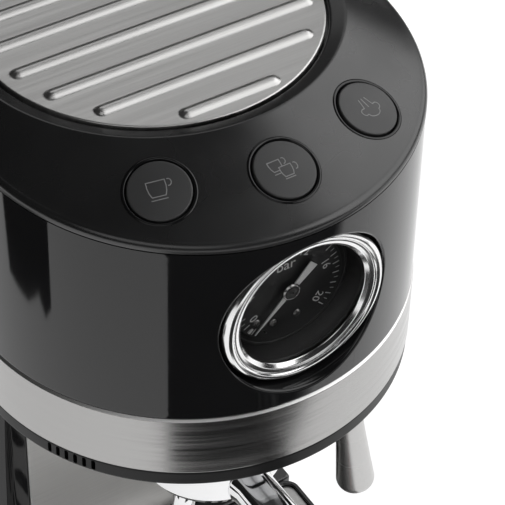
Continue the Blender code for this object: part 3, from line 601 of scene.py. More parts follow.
def thicken(item, thickness):
    """Turns an open sheet into a shell, inwards, with crisp edges."""
    build = opened(item.data)
    for edge in build.edges:
        if edge.is_boundary:
            edge.smooth = False
    build.to_mesh(item.data)
    build.free()
    shell = item.modifiers.new("thickness", "SOLIDIFY")
    shell.thickness = thickness * MM
    shell.offset = -1
    item.modifiers.move(1, 0)


# ---- head: wall, band, lip and cap

def edge_plane(y):
    return EDGE_HEIGHT + EDGE_TILT * y


def edge_ring(inset, drop):
    return [(x, y, edge_plane(y) - drop) for x, y in head_outline(inset)]


def make_wall():
    """The gloss wall: a grid of columns and rows, with rings round the gauge's pocket."""
    rows, ring_steps, fillet_steps = 40, 14, 7
    foot_inset, foot_round, fillet, floor_fillet = 0.4, 0.4, 1.3, 0.8
    foot_z, top_drop = SHELL_BOTTOM + foot_round, CAP_SKIRT + 0.3
    first, last = WALL_STEPS[0], WALL_STEPS[0] + WALL_STEPS[1]

    def inset_at(share):
        return foot_inset + (CAP_INSET - foot_inset) * share

    build = bmesh.new()
    top = [edge_plane(y) - top_drop for _, y in head_outline(CAP_INSET)]
    grid = []
    for share in (row / rows for row in range(rows + 1)):
        outline = zip(head_outline(inset_at(share)), top)
        grid.append([build.verts.new((*spot, foot_z + (z - foot_z) * share)) for spot, z in outline])
    add_ring_faces(build, grid, gap=range(first, last))
    foot = [grid[0]]
    for inset, rise in quarter(foot_round, (30, 60, 90)):
        ring = raised(head_outline(foot_inset + inset), SHELL_BOTTOM + rise)
        foot.insert(0, [build.verts.new(point) for point in ring])
    add_ring_faces(build, foot)

    border = (
        grid[0][first:last] + [row[last] for row in grid[:-1]]
        + grid[-1][last:first:-1] + [row[first] for row in grid[:0:-1]]
    )
    centre = Vector((0, GAUGE_SEAT.z))

    def wall_y(spot):
        top_z = edge_plane(-math.sqrt((HEAD_RADIUS - CAP_INSET) ** 2 - spot.x ** 2)) - top_drop
        share = (spot.y - foot_z) / (top_z - foot_z)
        return -math.sqrt((HEAD_RADIUS - inset_at(share)) ** 2 - spot.x ** 2)

    def ring(radius_at, y_at):
        """Vertices round the pocket: radius_at(reach of the border) from its middle, at y_at(spot)."""
        made = []
        for vertex in border:
            ray = vertex.co.xz - centre
            spot = centre + ray.normalized() * radius_at(ray.length)
            made.append(build.verts.new((spot.x, y_at(spot), spot.y)))
        return made

    lip_radius = POCKET_RADIUS + fillet
    rings = [border]
    for i in range(1, ring_steps + 1):
        share = (1 - i / ring_steps) ** 1.3
        rings.append(ring(lambda reach: lip_radius + (reach - lip_radius) * share, wall_y))
    for depth, wider in quarter(fillet, [90 * i / fillet_steps for i in range(1, fillet_steps + 1)]):
        rings.append(ring(lambda reach: POCKET_RADIUS + wider, lambda spot: wall_y(spot) + depth))
    floor_y = GAUGE_SEAT.y - 0.2
    for share in (0.33, 0.66, 1.0):
        rings.append(ring(
            lambda reach: POCKET_RADIUS,
            lambda spot: (wall_y(spot) + fillet) * (1 - share) + (floor_y - floor_fillet) * share))
    turn_in = [(POCKET_RADIUS - inset, -rise) for inset, rise in quarter(floor_fillet, (30, 60, 90))]
    for radius, back in (*turn_in, (30, 0), (CASE_RADIUS + 0.3, 0), (CASE_RADIUS + 0.3, 2.6)):
        rings.append(ring(lambda reach: radius, lambda spot: floor_y + back))
    add_ring_faces(build, rings)
    thicken(piece("head_wall", mesh_from(build, 40, outward=False), GLOSS_BLACK, "head_shell"), 1.8)


def make_band():
    wall, crest_width, crest_start = 1.2, 1.0, BAND_TOP - 0.7
    profile = rounded([
        (wall, BAND_BOTTOM), (0, BAND_BOTTOM), (0, crest_start), (crest_width, BAND_TOP), (wall, BAND_TOP),
    ], 0.3, 3, loop=True)
    mesh = skin([raised(head_outline(max(inset, 0)), z) for inset, z in profile], closed=True)
    band = piece("steel_band_brushed", brush_round(mesh, HEAD_RADIUS), BAND_STEEL, "steel_band")
    band.data.materials.append(CREST_METAL)
    for face in band.data.polygons:
        face.material_index = int(face.center.z > crest_start * MM)


def make_lip():
    """The dark floor of the head: its lip shows under the band, with vents at the left."""
    lip, wall_out, wall_in = 0.4, 3.6, 5.6
    floor_top, wall_top, band_seat = 211.9, high("head_floor").z, BAND_BOTTOM - 0.3
    profile = rounded([
        (lip + 4, LIP_BOTTOM), (lip, LIP_BOTTOM), (lip, band_seat), (wall_out, band_seat),
        (wall_out, wall_top), (wall_in, wall_top), (wall_in, floor_top),
    ], 0.9)
    cutters = [
        pin(30.5, 200, 220, place=(0, GROUP_Y)), pin(4, 200, 220, place=WAND_PIVOT.xy),
        brick((-55, 50, 200), (55, 102, 220)),
    ]
    first, pitch, count = -66.0, 2.45, 6
    for i in range(count):
        slot = slab([slot_outline((0, (LIP_BOTTOM + band_seat) / 2), 2.4, 0.8, upright=True)], 0, 6)
        inwards = Matrix.Translation((0, 3 - HEAD_RADIUS, 0)) @ FRONT
        cutters.append(moved(slot, turn=turned(first + pitch * i) @ inwards))
    mesh = skin([raised(head_outline(inset), z) for inset, z in profile])
    piece("head_lip", carve(mesh, cutters), DARK_GREY, "head_floor")


def rim_ray(point):
    """Unit vector from the cup plate's centre towards a point."""
    return (Vector(point[:2]) - PLATE_CENTRE).normalized()


def rim_ring(radius, z):
    return [(*(PLATE_CENTRE + rim_ray(point) * radius), z) for point in head_outline(0)]


def cap_slope(ray):
    """How steeply the cap falls along a ray from the plate's centre, from the rim to the round front edge."""
    along = PLATE_CENTRE.dot(ray)
    radius = HEAD_RADIUS - CAP_INSET - CAP_FILLET
    reach = -along + math.sqrt(radius ** 2 - PLATE_CENTRE.length ** 2 + along ** 2)
    return (RIM_TOP - edge_plane(PLATE_CENTRE.y + ray.y * reach)) / (reach - RIM_RADIUS)


def cap_height(spot):
    """Height of the cap's slope over a point."""
    return RIM_TOP - cap_slope(rim_ray(spot)) * ((spot.xy - PLATE_CENTRE).length - RIM_RADIUS)


def cap_slope_frame(angle_deg, distance):
    """Place and matrix on the cap's slope: local Z is the slope's normal, local X runs towards +X."""
    angle = math.radians(angle_deg)
    spot = Vector((math.sin(angle), -math.cos(angle))) * distance
    ray = rim_ray(spot)
    normal = Vector((*(ray * cap_slope(ray)), 1)).normalized()
    across = (Vector((1, 0, 0)) - normal * normal.x).normalized()
    turn = Matrix((across, normal.cross(across), normal)).transposed().to_4x4()
    return Vector((*spot, cap_height(spot))), turn


def make_cap():
    """The satin cap: a dished recess, a rolled rim, a slope with three holes, and a filleted edge."""
    slope_steps, fillet_steps = 14, 8
    profile = rounded([
        (RECESS_RADIUS, RECESS_FLOOR), (RECESS_RADIUS, RIM_TOP - 1.9), (RIM_RADIUS, RIM_TOP),
        (RIM_RADIUS + 12, RIM_TOP - 4.5),
    ], 1.6, 5)[:-1]
    rings = [rim_ring(radius, z) for radius, z in profile]
    slope = list(zip(rings[-1], edge_ring(CAP_INSET + CAP_FILLET, 0)))
    for i in range(1, slope_steps):
        rings.append([tuple(Vector(a).lerp(Vector(b), i / slope_steps)) for a, b in slope])
    for drop, inset in quarter(CAP_FILLET, [90 * i / fillet_steps for i in range(fillet_steps + 1)]):
        rings.append(edge_ring(CAP_INSET + inset, drop))
    skirt = ((0, CAP_SKIRT - 0.2), (0.2, CAP_SKIRT), (2.4, CAP_SKIRT), (4.5, 2.4))
    rings += [edge_ring(CAP_INSET + inset, drop) for inset, drop in skirt]
    rings += [rim_ring(RIM_RADIUS - 1.5, RIM_TOP - 2.7), rim_ring(RECESS_RADIUS + 2, RECESS_FLOOR - 2.4)]
    frames = [cap_slope_frame(*place) for place in BUTTON_PLACES.values()]
    holes = [moved(pin(RING_OUTER + 0.04, -10, 10, 96), *frame) for frame in frames]
    piece("cap_moulding", carve(skin(rings), holes), SATIN_BLACK, "top_cap")


def make_plate():
    """The cup plate: one pressed sheet, with ribs along X that end on a circle."""
    columns, rib_half, rib_count, spacing, tip_reach = 200, 2.9, 8, 15.95, 59.3
    edge_round, skirt = 0.5, 3.0
    top_radius = PLATE_RADIUS - edge_round
    ribs = [spacing * (i - (rib_count - 1) / 2) for i in range(rib_count)]

    rows = {top_radius * math.cos(math.radians(a)) for a in range(2, 179, 4)}
    rows |= {rib + 3.4 * k / 9 for rib in ribs for k in range(-9, 10)}
    rows |= {rib + part * spacing for rib in ribs for part in (1 / 2, 1 / 3, -1 / 3)}
    rows |= {ribs[0] - 5.2, ribs[-1] + 5.2}

    def rise(x, y):
        total = 0.0
        for rib in ribs:
            reach = math.sqrt(tip_reach ** 2 - rib ** 2) - rib_half
            away = Vector((max(abs(x) - reach, 0), y - rib)).length / rib_half
            if away < 1:
                total += RIB_HEIGHT * (1 - away ** 2.4) ** 1.5
        return total

    build = bmesh.new()
    grid = []
    for y in sorted({round(y, 4) for y in rows if abs(y) < top_radius}):
        half = math.sqrt(top_radius ** 2 - y * y)
        xs = [half * (2 * i / columns - 1) for i in range(columns + 1)]
        grid.append([build.verts.new((x, y, PLATE_TOP + rise(x, y))) for x in xs])
    for near, far in zip(grid, grid[1:]):
        for i in range(columns):
            build.faces.new((near[i], near[i + 1], far[i + 1], far[i]))
    upper = grid[0] + [row[-1] for row in grid[1:-1]] + grid[-1][::-1] + [row[0] for row in grid[-2:0:-1]]
    rays = [vertex.co.xy.normalized() for vertex in upper]
    for inset, drop in ((0.3, 0.1), (0.1, 0.25), (0, edge_round), (0, skirt)):
        ring = [ray * (PLATE_RADIUS - inset) for ray in rays]
        lower = [build.verts.new(point) for point in raised(ring, PLATE_TOP - drop)]
        for i in range(-1, len(ring) - 1):
            build.faces.new((upper[i], lower[i], lower[i + 1], upper[i + 1]))
        upper = lower
    mesh = brush_straight(mesh_from(build, 50, outward=False))
    thicken(piece("cup_plate_pressed", mesh, PLATE_STEEL, "cup_plate", (0, PLATE_CENTRE.y, 0)), 0.8)


# ---- push buttons

def button_top(distance):
    """Height of a button's gently domed face at a distance from its middle."""
    return 1.0 - 0.4 * (distance / 10.2) ** 2


def make_buttons():
    edge, edge_top = 0.5, button_top(BUTTON_RADIUS - 0.5)
    body = [(r, button_top(r)) for r in (0, 2.5, 5, 7.5, 9.6, 10.4)]
    body += [(BUTTON_RADIUS - side, edge_top - drop) for drop, side in quarter(edge, range(0, 91, 18))]
    body += [(BUTTON_RADIUS, -6), (11.9, -6), (11.9, -6.8), (3, -6.8), (3, -9.5), (0, -9.5)]
    icons = {"one_cup": one_cup_icon, "two_cups": two_cups_icon, "steam": steam_icon}
    for name, spot in BUTTON_PLACES.items():
        frame_at = cap_slope_frame(*spot)
        piece(f"push_button_{name}", lathe(body), CHARCOAL, f"button_{name}", *frame_at)
        piece(f"button_surround_{name}", button_surround(*frame_at), GLOSS_BLACK, f"ring_{name}", *frame_at)
        piece(f"button_icon_{name}", merged(icons[name]()), ICON_GREY, f"button_{name}", *frame_at, False)


def button_surround(place, turn):
    """A chamfered ring whose outer edge follows the cap's slope, so that it looks moulded in one."""
    spokes = [Vector(point) for point in circle(1, 96)]
    to_local = (Matrix.Translation(place) @ turn).inverted()
    outer = []
    for spoke in spokes:
        height = 0
        for _ in range(3):
            spot = place + turn @ Vector((*(spoke * RING_OUTER), height))
            height = (to_local @ Vector((*spot.xy, cap_height(spot)))).z
        outer.append(height)
    rows = (
        (12.85, 0, -4.5), (12.85, 1, -0.6), (12.85, 1, -0.1), (12.75, 1, 0.04), (12.55, 1, 0.18),
        (12.25, 1, 0.24), (11.95, 0.9, 0.18), (11.65, 0.7, -0.05), (11.5, 0.4, -0.4), (11.35, 0.2, -0.7),
        (RING_INNER, 0, -1), (RING_INNER, 0, -4.5),
    )
    """Radius, how far the row follows the cap, and height."""
    return skin([
        [(*(spoke * radius), height * share + rise) for spoke, height in zip(spokes, outer)]
        for radius, share, rise in rows
    ], closed=True, angle=60)


def line(points, closed=False, smooth=1):
    """A thin printed line on a button's face, a hair proud of it."""
    half, rise = 0.19, 0.05
    path = smooth_path([Vector(point) for point in points], smooth)
    count = len(path)
    rings = []
    for i, spot in enumerate(path):
        ahead = path[(i + 1) % count] if closed or i + 1 < count else spot
        behind = path[i - 1] if closed or i else spot
        forward, back = (ahead - spot).normalized(), (spot - behind).normalized()
        across = (forward + back).normalized().orthogonal()
        stretch = 1 / max(0.5, across.dot((forward if forward.length else back).orthogonal()))
        rings.append([
            (*(spot + across * half * stretch * share), button_top(spot.length) + height)
            for share, height in ((1, -rise), (0.85, rise), (-0.85, rise), (-1, -rise))
        ])
    return skin(rings, closed)


def placed(points, centre, size, turn_deg=0.0):
    """Scales a drawing of unit size, turns it and moves it."""
    turn = Matrix.Rotation(math.radians(turn_deg), 2)
    return [Vector(centre) + size * (turn @ Vector(point)) for point in points]


CUP_BOWL = [
    (-0.37, -0.44), (-0.47, -0.18), (-0.51, 0.12), (-0.50, 0.45), (0.50, 0.45), (0.51, 0.12), (0.47, -0.18),
    (0.37, -0.44),
]
CUP_HANDLE = [(0.62, 0.44), (0.72, 0.44), (0.80, 0.37), (0.83, 0.25), (0.79, 0.12), (0.70, 0.05), (0.60, 0.05)]
CUP_SAUCER = [(-0.46, -0.62), (0.44, -0.62)]


def one_cup_icon():
    where = (-0.55, 0.75), 6.4, -13.0
    return [
        line(placed(CUP_BOWL, *where), closed=True), line(placed(CUP_HANDLE, *where)),
        line(placed(CUP_SAUCER, *where)),
    ]


def two_cups_icon():
    """One cup in front of another, whose hidden lines are left out."""
    where = (0.30, -0.80), 4.45
    handle = [(0.72, 0.45), (0.86, 0.43), (0.96, 0.28), (0.97, 0.05), (0.88, -0.10), (0.72, -0.14)]
    rear_bowl = [
        (-2.0, 0.15), (-4.2, 0.15), (-4.75, 1.4), (-5.0, 2.7), (-5.0, 4.05), (-0.5, 4.05), (-0.48, 2.6),
        (-0.55, 1.3),
    ]
    rear_handle = [(0.45, 4.15), (1.05, 4.10), (1.50, 3.50), (1.52, 2.60), (1.05, 2.0), (0.45, 1.85)]
    return [
        line(placed(CUP_BOWL, *where), closed=True), line(placed(handle, *where)),
        line(placed(CUP_SAUCER, *where)), line(rear_bowl), line(rear_handle),
        line([(-4.5, -0.9), (-2.1, -0.9)]),
    ]


def steam_icon():
    """A cloud of three bulges, blown along three lines."""
    right = [(2.3, 0.8), (3.2, 1.25), (4.1, 1.0), (4.65, 0.1), (4.4, -1.0), (3.6, -1.5)]
    bottom = [(3.6, -1.5), (3.6, -2.3), (2.9, -3.2), (1.6, -3.75), (-0.2, -3.7), (-1.1, -3.2), (-1.5, -2.6)]
    left = [(-1.5, -2.6), (-2.5, -2.85), (-3.4, -2.3), (-3.75, -1.2), (-3.1, -0.3), (-1.9, -0.1)]
    trails = [[(-2.15, 3.7), (-1.9, -0.1)], [(-0.95, 4.0), (0.15, 0.1)], [(0.5, 4.3), (2.3, 0.8)]]
    return [line(trail) for trail in trails] + [line(bulge, smooth=4) for bulge in (right, bottom, left)]


# ---- pressure gauge

SCALE_START, SCALE_SWEEP, FULL_SCALE = -135.0, 270.0, 20


def scale_angle(value):
    """Degrees clockwise from up, for a value on the scale."""
    return SCALE_START + SCALE_SWEEP * value / FULL_SCALE


def text_mesh(words, size):
    """Lettering as a mesh, centred on the origin, facing +Z."""
    curve = bpy.data.curves.new("words", "FONT")
    curve.body = words
    curve.size = size
    curve.align_x = "CENTER"
    curve.align_y = "CENTER"
    curve.extrude = 0.04
    curve.resolution_u = 6
    return baked([linked("words", curve)])


def make_gauge():
    def add(name, mesh, material, node, stands_for=True):
        piece(name, mesh, material, node, GAUGE_SEAT, FRONT, stands_for)

    add("gauge_can", spin([
        (0, -28.5), (25.7, -28.5), (25.7, 1.5), (28.4, 1.5), (28.4, 0.5), (CASE_RADIUS, 0.5),
        (CASE_RADIUS, -30), (0, -30),
    ], 0.3), CASE_BLACK, "gauge_case")
    add("gauge_dial_disc", spin([
        (0, DIAL_FACE), (22.1, DIAL_FACE), (22.3, -6.2), (23.8, -6.2), (24, -5.9), (24.6, -5.9), (24.8, -6.2),
        (25.4, -6.2), (25.4, -7.2), (0, -7.2),
    ], 0.2, 128, segments=3), DIAL_BLACK, "gauge_dial")
    glass = spin([(0, 3.1), (26.8, 3.1), (26.8, 1.8), (0, 1.8)], 0.2, 128, segments=2)
    add("gauge_glass", glass, GLASS, "gauge_lens")
    add("gauge_bezel_ring", spin([
        (28.7, 0.5), (28.7, 1.8), (27.2, 1.8), (27.2, 3.4), (25.5, 3.4), (25.6, 3.8), (27, 5), (28.3, 5.4),
        (28.9, 5.3), (29.5, 5.9), (30.4, 6.2), (31.4, 5.7), (32.3, 4.6), (32.7, 3.2), (32.5, 1.6), (31.8, 0.5),
    ], 1, 160, loop=True, angle=60), BEZEL_CHROME, "gauge_bezel")
    add("dial_print", merged(dial_marks()), PRINT, "gauge_dial", False)
    add("dial_screws", merged(dial_screws()), DARK_METAL, "gauge_dial", False)
    make_needle()
    pipe = [(0, -28.6, 262), (0, -34, 263.5), (0, -40, 279.5), (0, -44.7, 281.7)]
    piece("gauge_feed_pipe", sweep(pipe, 1.5), BRASS, "gauge_pipe")


def dial_marks():
    """Ticks every half unit, longer at whole ones, numbers every fourth and the unit's name."""
    marks = []
    tick_end, print_height, number_radius = 21.1, 0.04, 15.8
    for half_units in range(2 * FULL_SCALE + 1):
        length, width = (1.6, 0.20) if half_units % 2 else (2.6, 0.36)
        tick = brick((-width / 2, tick_end - length, 0), (width / 2, tick_end, print_height))
        marks.append(moved(tick, turn=turned(-scale_angle(half_units / 2))))
    for value in range(0, FULL_SCALE + 1, 4):
        shift = {0: 17.0, 12: -5.0, 16: -8.0, FULL_SCALE: -7.0}.get(value, 0.0)
        turn = turned(-scale_angle(value) - shift) @ Matrix.Translation((0, number_radius, 0))
        marks.append(moved(text_mesh(str(value), 4.7), turn=turn))
    marks.append(moved(text_mesh("bar", 6), (-1.5, 11.7, 0)))
    marks.append(moved(brick((-0.6, 19, 0), (0.6, 21.2, print_height)), turn=turned(131)))
    return [moved(mark, (0, 0, DIAL_FACE)) for mark in marks]


def dial_screws():
    """Three slotted screw heads low on the dial, and the pin that the pointer rests on."""
    heads = []
    for x, y, turn_deg in ((-12.9, -10.3, 20), (-6, -13.6, 70), (3.9, -13.6, 115)):
        head = lathe([(0, 0.7), (0.8, 0.65), (1.3, 0.4), (1.55, 0), (0, 0)], 32)
        slot = moved(brick((-2, -0.22, 0.35), (2, 0.22, 2)), turn=turned(turn_deg))
        heads.append(moved(carve(head, [slot]), (x, y, DIAL_FACE)))
    stop = lathe([(0, 1.2), (0.35, 1.1), (0.4, 0), (0, 0)], 20)
    return [*heads, moved(stop, (-9.5, -15.9, DIAL_FACE))]


def make_needle():
    tip, tail = 20.3, 12.9
    rest = FRONT @ turned(135)
    outline = [
        (1.1, 2), (0.2, tip), (-0.2, tip), (-1.1, 2), (-1.1, -2), (-2, -tail), (2, -tail), (1.1, -2),
    ]
    collar = [(2.8, -3.1), (3.1, -3.1), (3.5, -3.7), (3.5, -4.6), (2.8, -4.6)]
    hub = [
        (0, -3.1), (0.3, -3.1), (0.4, -2.9), (2.6, -2.9), (2.78, -3.2), (2.78, -4.7), (1.2, -4.7), (1.2, -5.3),
        (0, -5.3),
    ]
    for name, mesh, material in (
        ("needle_blade", slab([outline], -4.3, -3.9, 0.08), PRINT),
        ("needle_collar", spin(collar, 0.15, 64, loop=True, segments=3), SATIN_METAL),
        ("needle_hub", spin(hub, 0.1, 64, segments=3), CASE_BLACK),
    ):
        piece(name, mesh, material, "gauge_needle", GAUGE_SEAT, rest, name == "needle_blade")


# ---- steam wand and knob

def make_wand():
    along = WAND_TIP - WAND_PIVOT
    lean = (-along).to_track_quat("Z", "Y").to_matrix().to_4x4()
    length = along.length
    ball, seat, tube_radius = 7.5, 7.9, 4
    socket_top = LIP_BOTTOM - 0.3 - WAND_PIVOT.z
    socket = [(0, socket_top), (10.5, socket_top), (11.8, socket_top - 1.5), (11.8, 0.6)]
    dome = [(seat * math.cos(math.radians(a)), seat * math.sin(math.radians(a))) for a in range(4, 84, 8)]
    socket = rounded([*socket, dome[0]], 0.4) + dome[1:] + [(0, seat)]
    piece("wand_socket_turned", lathe(socket), CHROME, "wand_socket", WAND_PIVOT)
    nut = spin([(11.8, 0.3), (12, -1), (11.6, -6), (10.8, -6.8), (8.7, -6.8), (8.7, 0.3)], 0.6, loop=True)
    piece("wand_nut_turned", nut, CHROME, "wand_nut", WAND_PIVOT)
    neck_deg = math.degrees(math.asin(tube_radius / ball))
    sphere = [(0, ball), *arc((0, 0), ball, 90, neck_deg - 90, 18)[1:]]
    tube = lathe([*sphere, (tube_radius, -45), (0, -45)], 64)
    piece("wand_tube", brush_round(tube, tube_radius), TURNED_STEEL, "steam_tube", WAND_PIVOT, lean)
    ridges = []
    for top in (-14 - 2 * i for i in range(6)):
        ridges += [(7, top), (7, top - 1.1), (6.4, top - 1.4), (6.4, top - 1.9)]
    grip = spin([
        (5.2, -12.5), (6.2, -12.7), *ridges, (6.6, -26.4), (5.6, -27.2), (4.3, -27.2), (4.3, -12.5),
    ], 0.3, 48, loop=True, segments=3)
    piece("wand_grip_ribbed", grip, RUBBER, "wand_grip", WAND_PIVOT, lean)
    narrow, widest, end_radius, flare_top = 5.3, 8.2, 5.6, -45
    shares = [i / 12 for i in range(13)]
    flare = [
        (narrow + (widest - narrow) * share ** 1.4, flare_top - (length - end_radius + flare_top) * share)
        for share in shares
    ]
    tip = [(widest - inset, rise - length) for inset, rise in quarter(end_radius, range(8, 91, 8))]
    sleeve = lathe([
        (0, -45.4), (4.3, -45.4), (4.3, -28), (4.7, -27.7), (5.2, -28), *flare, *tip,
        (1.6, -length), (1.4, 1.2 - length), (0, 1.2 - length),
    ], 72)
    piece("wand_sleeve", brush_round(sleeve, 6.8), TURNED_STEEL, "froth_sleeve", WAND_PIVOT, lean)


def make_knob():
    """A knob with shallow flutes and a turned cap."""
    length, radius, count, steps = 22, 17.2, 18, 180
    flutes = [(0.5 + 0.5 * math.cos(math.tau * count * i / steps)) ** 1.5 for i in range(steps)]
    rings = []
    for height, base, depth in (
        (0.4, 16.6, 0), (0.6, 17, 0), (1.2, radius, 0), (3, radius, 0), (4, 17.1, 0.6), (8, 16.8, 0.9),
        (14, 16.3, 0.9), (19, 15.8, 0.6), (20.4, 15.7, 0.1), (21.3, 15.3, 0), (21.9, 14.6, 0),
        (length, 13.8, 0), (length, 12, 0), (length - 0.4, 11.6, 0),
    ):
        spokes = zip(circle(1, steps), flutes)
        rings.append([(*(Vector(spoke) * (base - depth * flute)), height) for spoke, flute in spokes])
    shaft = lathe([(0, 0.6), (3, 0.6), (3, -10), (0, -10)], 32)
    disc = spin([(0, length - 0.1), (11.4, length - 0.1), (11.4, length - 1.2), (0, length - 1.2)], 0.2)
    for name, mesh, material in (
        ("steam_knob_fluted", skin(rings, angle=40), SATIN_BLACK),
        ("steam_knob_shaft", brush_round(shaft, 3), TURNED_STEEL),
        ("steam_knob_disc", brush_round(disc, 11.4), TURNED_STEEL),
    ):
        piece(name, mesh, material, "steam_knob", KNOB_PLACE, RIGHT, name == "steam_knob_fluted")


# ---- brew group and portafilter

def make_group():
    centre = (0, GROUP_Y, 0)
    group = spin([
        (0, 236), (30, 236), (30, 208.6), (37, 208.6), (37, 183), (36, 181.5), (30, 181), (30, 186.5),
        (33.5, 186.5), (33.5, 195), (29.7, 195), (29.7, 204.5), (0, 204.5),
    ], 0.5)
    notches = [moved(brick((25, -6.8, 180), (33.4, 6.8, 187)), turn=turned(angle)) for angle in (-45, 135)]
    piece("group_casting", carve(group, notches), ALUMINIUM, "group_head", centre)
    gasket = spin([(29.2, 204.1), (29.2, 199.1), (26.2, 199.1), (26.2, 204.1)], 0.4, loop=True)
    piece("group_seal", gasket, RUBBER, "group_gasket", centre)
    screen = spin([
        (0, 204.1), (25.6, 204.1), (25.6, 199.6), (25, 199.2), (4, 199.2), (4, 198.4), (0, 198.4),
    ], 0.3)
    rings = ((8, 10), (12, 16), (16, 22), (20, 28))
    holes = [pin(0.6, 198, 200.2, 8, spot) for radius, count in rings for spot in circle(radius, count)]
    screen = brush_round(carve(screen, [merged(holes)]), 20)
    piece("shower_screen_perforated", screen, TURNED_STEEL, "shower_screen", centre)


def make_portafilter():
    """The origin of its round pieces lies on the axis of the neck, under the middle of the group."""
    centre = Vector((0, GROUP_Y, NECK_Z))
    down = (0, 0, -NECK_Z)
    body = spin([
        (29.3, 196.7), (29.3, 154.5), (27, 150.8), (18, 150), (4, 150), (4, 152.5), (25, 153.5), (27, 156),
        (27, 196.7),
    ], 0.6, loop=True)
    neck_end = GROUP_Y - HANDLE_START - 0.3
    neck = spin([
        (0, neck_end), (8, neck_end), (8.6, neck_end - 0.6), (8.6, 33), (9.5, 27.8), (0, 27.8),
    ], 0.6, 64)
    ears = [moved(brick((28, -6, 188), (32.2, 6, 192.5), 0.5), down, turned(side)) for side in (0, 180)]
    body = carve(moved(body, down), [moved(neck, turn=FRONT), *ears], "UNION", 40)
    piece("portafilter_cup", body, CHROME, "portafilter_body", centre)
    basket = spin([
        (0, 174.5), (24.5, 174.5), (25.5, 176.5), (25.8, 198.7), (29.2, 198.7), (29.2, 197.1), (26.6, 197.1),
        (26.4, 175.5), (25, 173.5), (0, 173.5),
    ], 0.4)
    basket = brush_round(moved(basket, down), 26)
    piece("filter_basket_pressed", basket, TURNED_STEEL, "filter_basket", centre)
    handle = lathe([
        (0, 118), (10.5, 118), (12.5, 117.2), (13.8, 115.5), (14.6, 112), (14.5, 107), (14, 100), (13.1, 91),
        (12.4, 82), (11.9, 71), (11.8, 60), (12.1, 48), (12.6, 35), (12.5, 24), (12, 15), (11.2, 8),
        (10.4, 3.4), (10.1, 2.8), (10.3, 2), (10.1, 0.4), (9.7, 0), (0, 0),
    ])
    piece("portafilter_grip", handle, SATIN_BLACK, "portafilter_handle", (0, HANDLE_START, NECK_Z), FRONT)
    outlet_x, outlet_z, arch_z = 12.5, 118, 138.5
    stem = spin([(0, 149.6), (7.8, 149.6), (7.8, 143), (6, 138), (0, 138)], 0.5, 48)
    half_route = [(outlet_x, 0, outlet_z), (outlet_x, 0, outlet_z + 9), (outlet_x * 0.75, 0, arch_z - 3.5)]
    route = [(-x, y, z) for x, y, z in half_route] + [(0, 0, arch_z)] + half_route[::-1]
    spout = carve(stem, [sweep(route, 4.6, 32)], "UNION", 40)
    bores = [pin(3.2, outlet_z - 2, outlet_z + 7, 32, (x, 0)) for x in (-outlet_x, outlet_x)]
    piece("spout_twin", carve(spout, bores, angle=40), CHROME, "double_spout", (0, GROUP_Y, 0))


# ---- base, drip tray and feet

def round_over(outline, bottom, top, edge, bottom_edge):
    """Rings of a moulded block: outline(inset) at each height, with its edges rounded."""
    rings = [raised(outline(inset), bottom + rise) for rise, inset in quarter(bottom_edge, (0, 30, 60))]
    rings.append(raised(outline(0), bottom + bottom_edge))
    return rings + [raised(outline(inset), top - drop) for inset, drop in quarter(edge, range(0, 91, 15))]


def make_base():
    block_front = TRAY_BACK + 0.5

    def block_outline(inset):
        return rounded_box(
            (inset - BASE_RADIUS, block_front + inset), (BASE_RADIUS - inset, BASE_BACK - inset),
            1.5, BASE_CORNER - min(inset, BASE_WALL))

    housing = skin(round_over(block_outline, BASE_BOTTOM, BASE_TOP, 1.2, 0.6))
    deck = slab([d_outline(BASE_RADIUS, BASE_CENTRE_Y, 60, BASE_CORNER)], BASE_BOTTOM, TRAY_BOTTOM - 0.3, 0.5)
    switch_hole = slab([rounded_box((-6.8, -10.8), (6.8, 10.8), 1, 1)], -10, 10)
    housing = carve(carve(housing, [deck], "UNION"), [
        slab([block_outline(BASE_WALL)], 0, BASE_TOP - BASE_WALL), brick((-52, 52, 30), (52, 100, 50)),
        pin(5.2, 30, 50, place=(0, TANK_VALVE_Y)), moved(switch_hole, SWITCH_PLACE, FRONT),
        moved(pin(6.5, -10, 10), GLAND_PLACE, FRONT),
    ])
    piece("base_moulding", housing, SATIN_BLACK, "base_housing")
    cover = slab([block_outline(BASE_WALL + 0.3)], BASE_BOTTOM, BASE_BOTTOM + 2.2, 0.3)
    piece("base_cover_plate", cover, DARK_GREY, "base_cover")
    foot_top = BASE_BOTTOM - 0.3
    for corner in ("front_left", "front_right", "rear_left", "rear_right"):
        foot = spin([(0, foot_top), (8.5, foot_top), (9, 3), (8.2, 0), (0, 0)], 0.6, 48)
        centre = middle(f"foot_{corner}").xy
        piece(f"foot_pad_{corner}", foot, RUBBER, f"foot_{corner}", (*centre, 0))


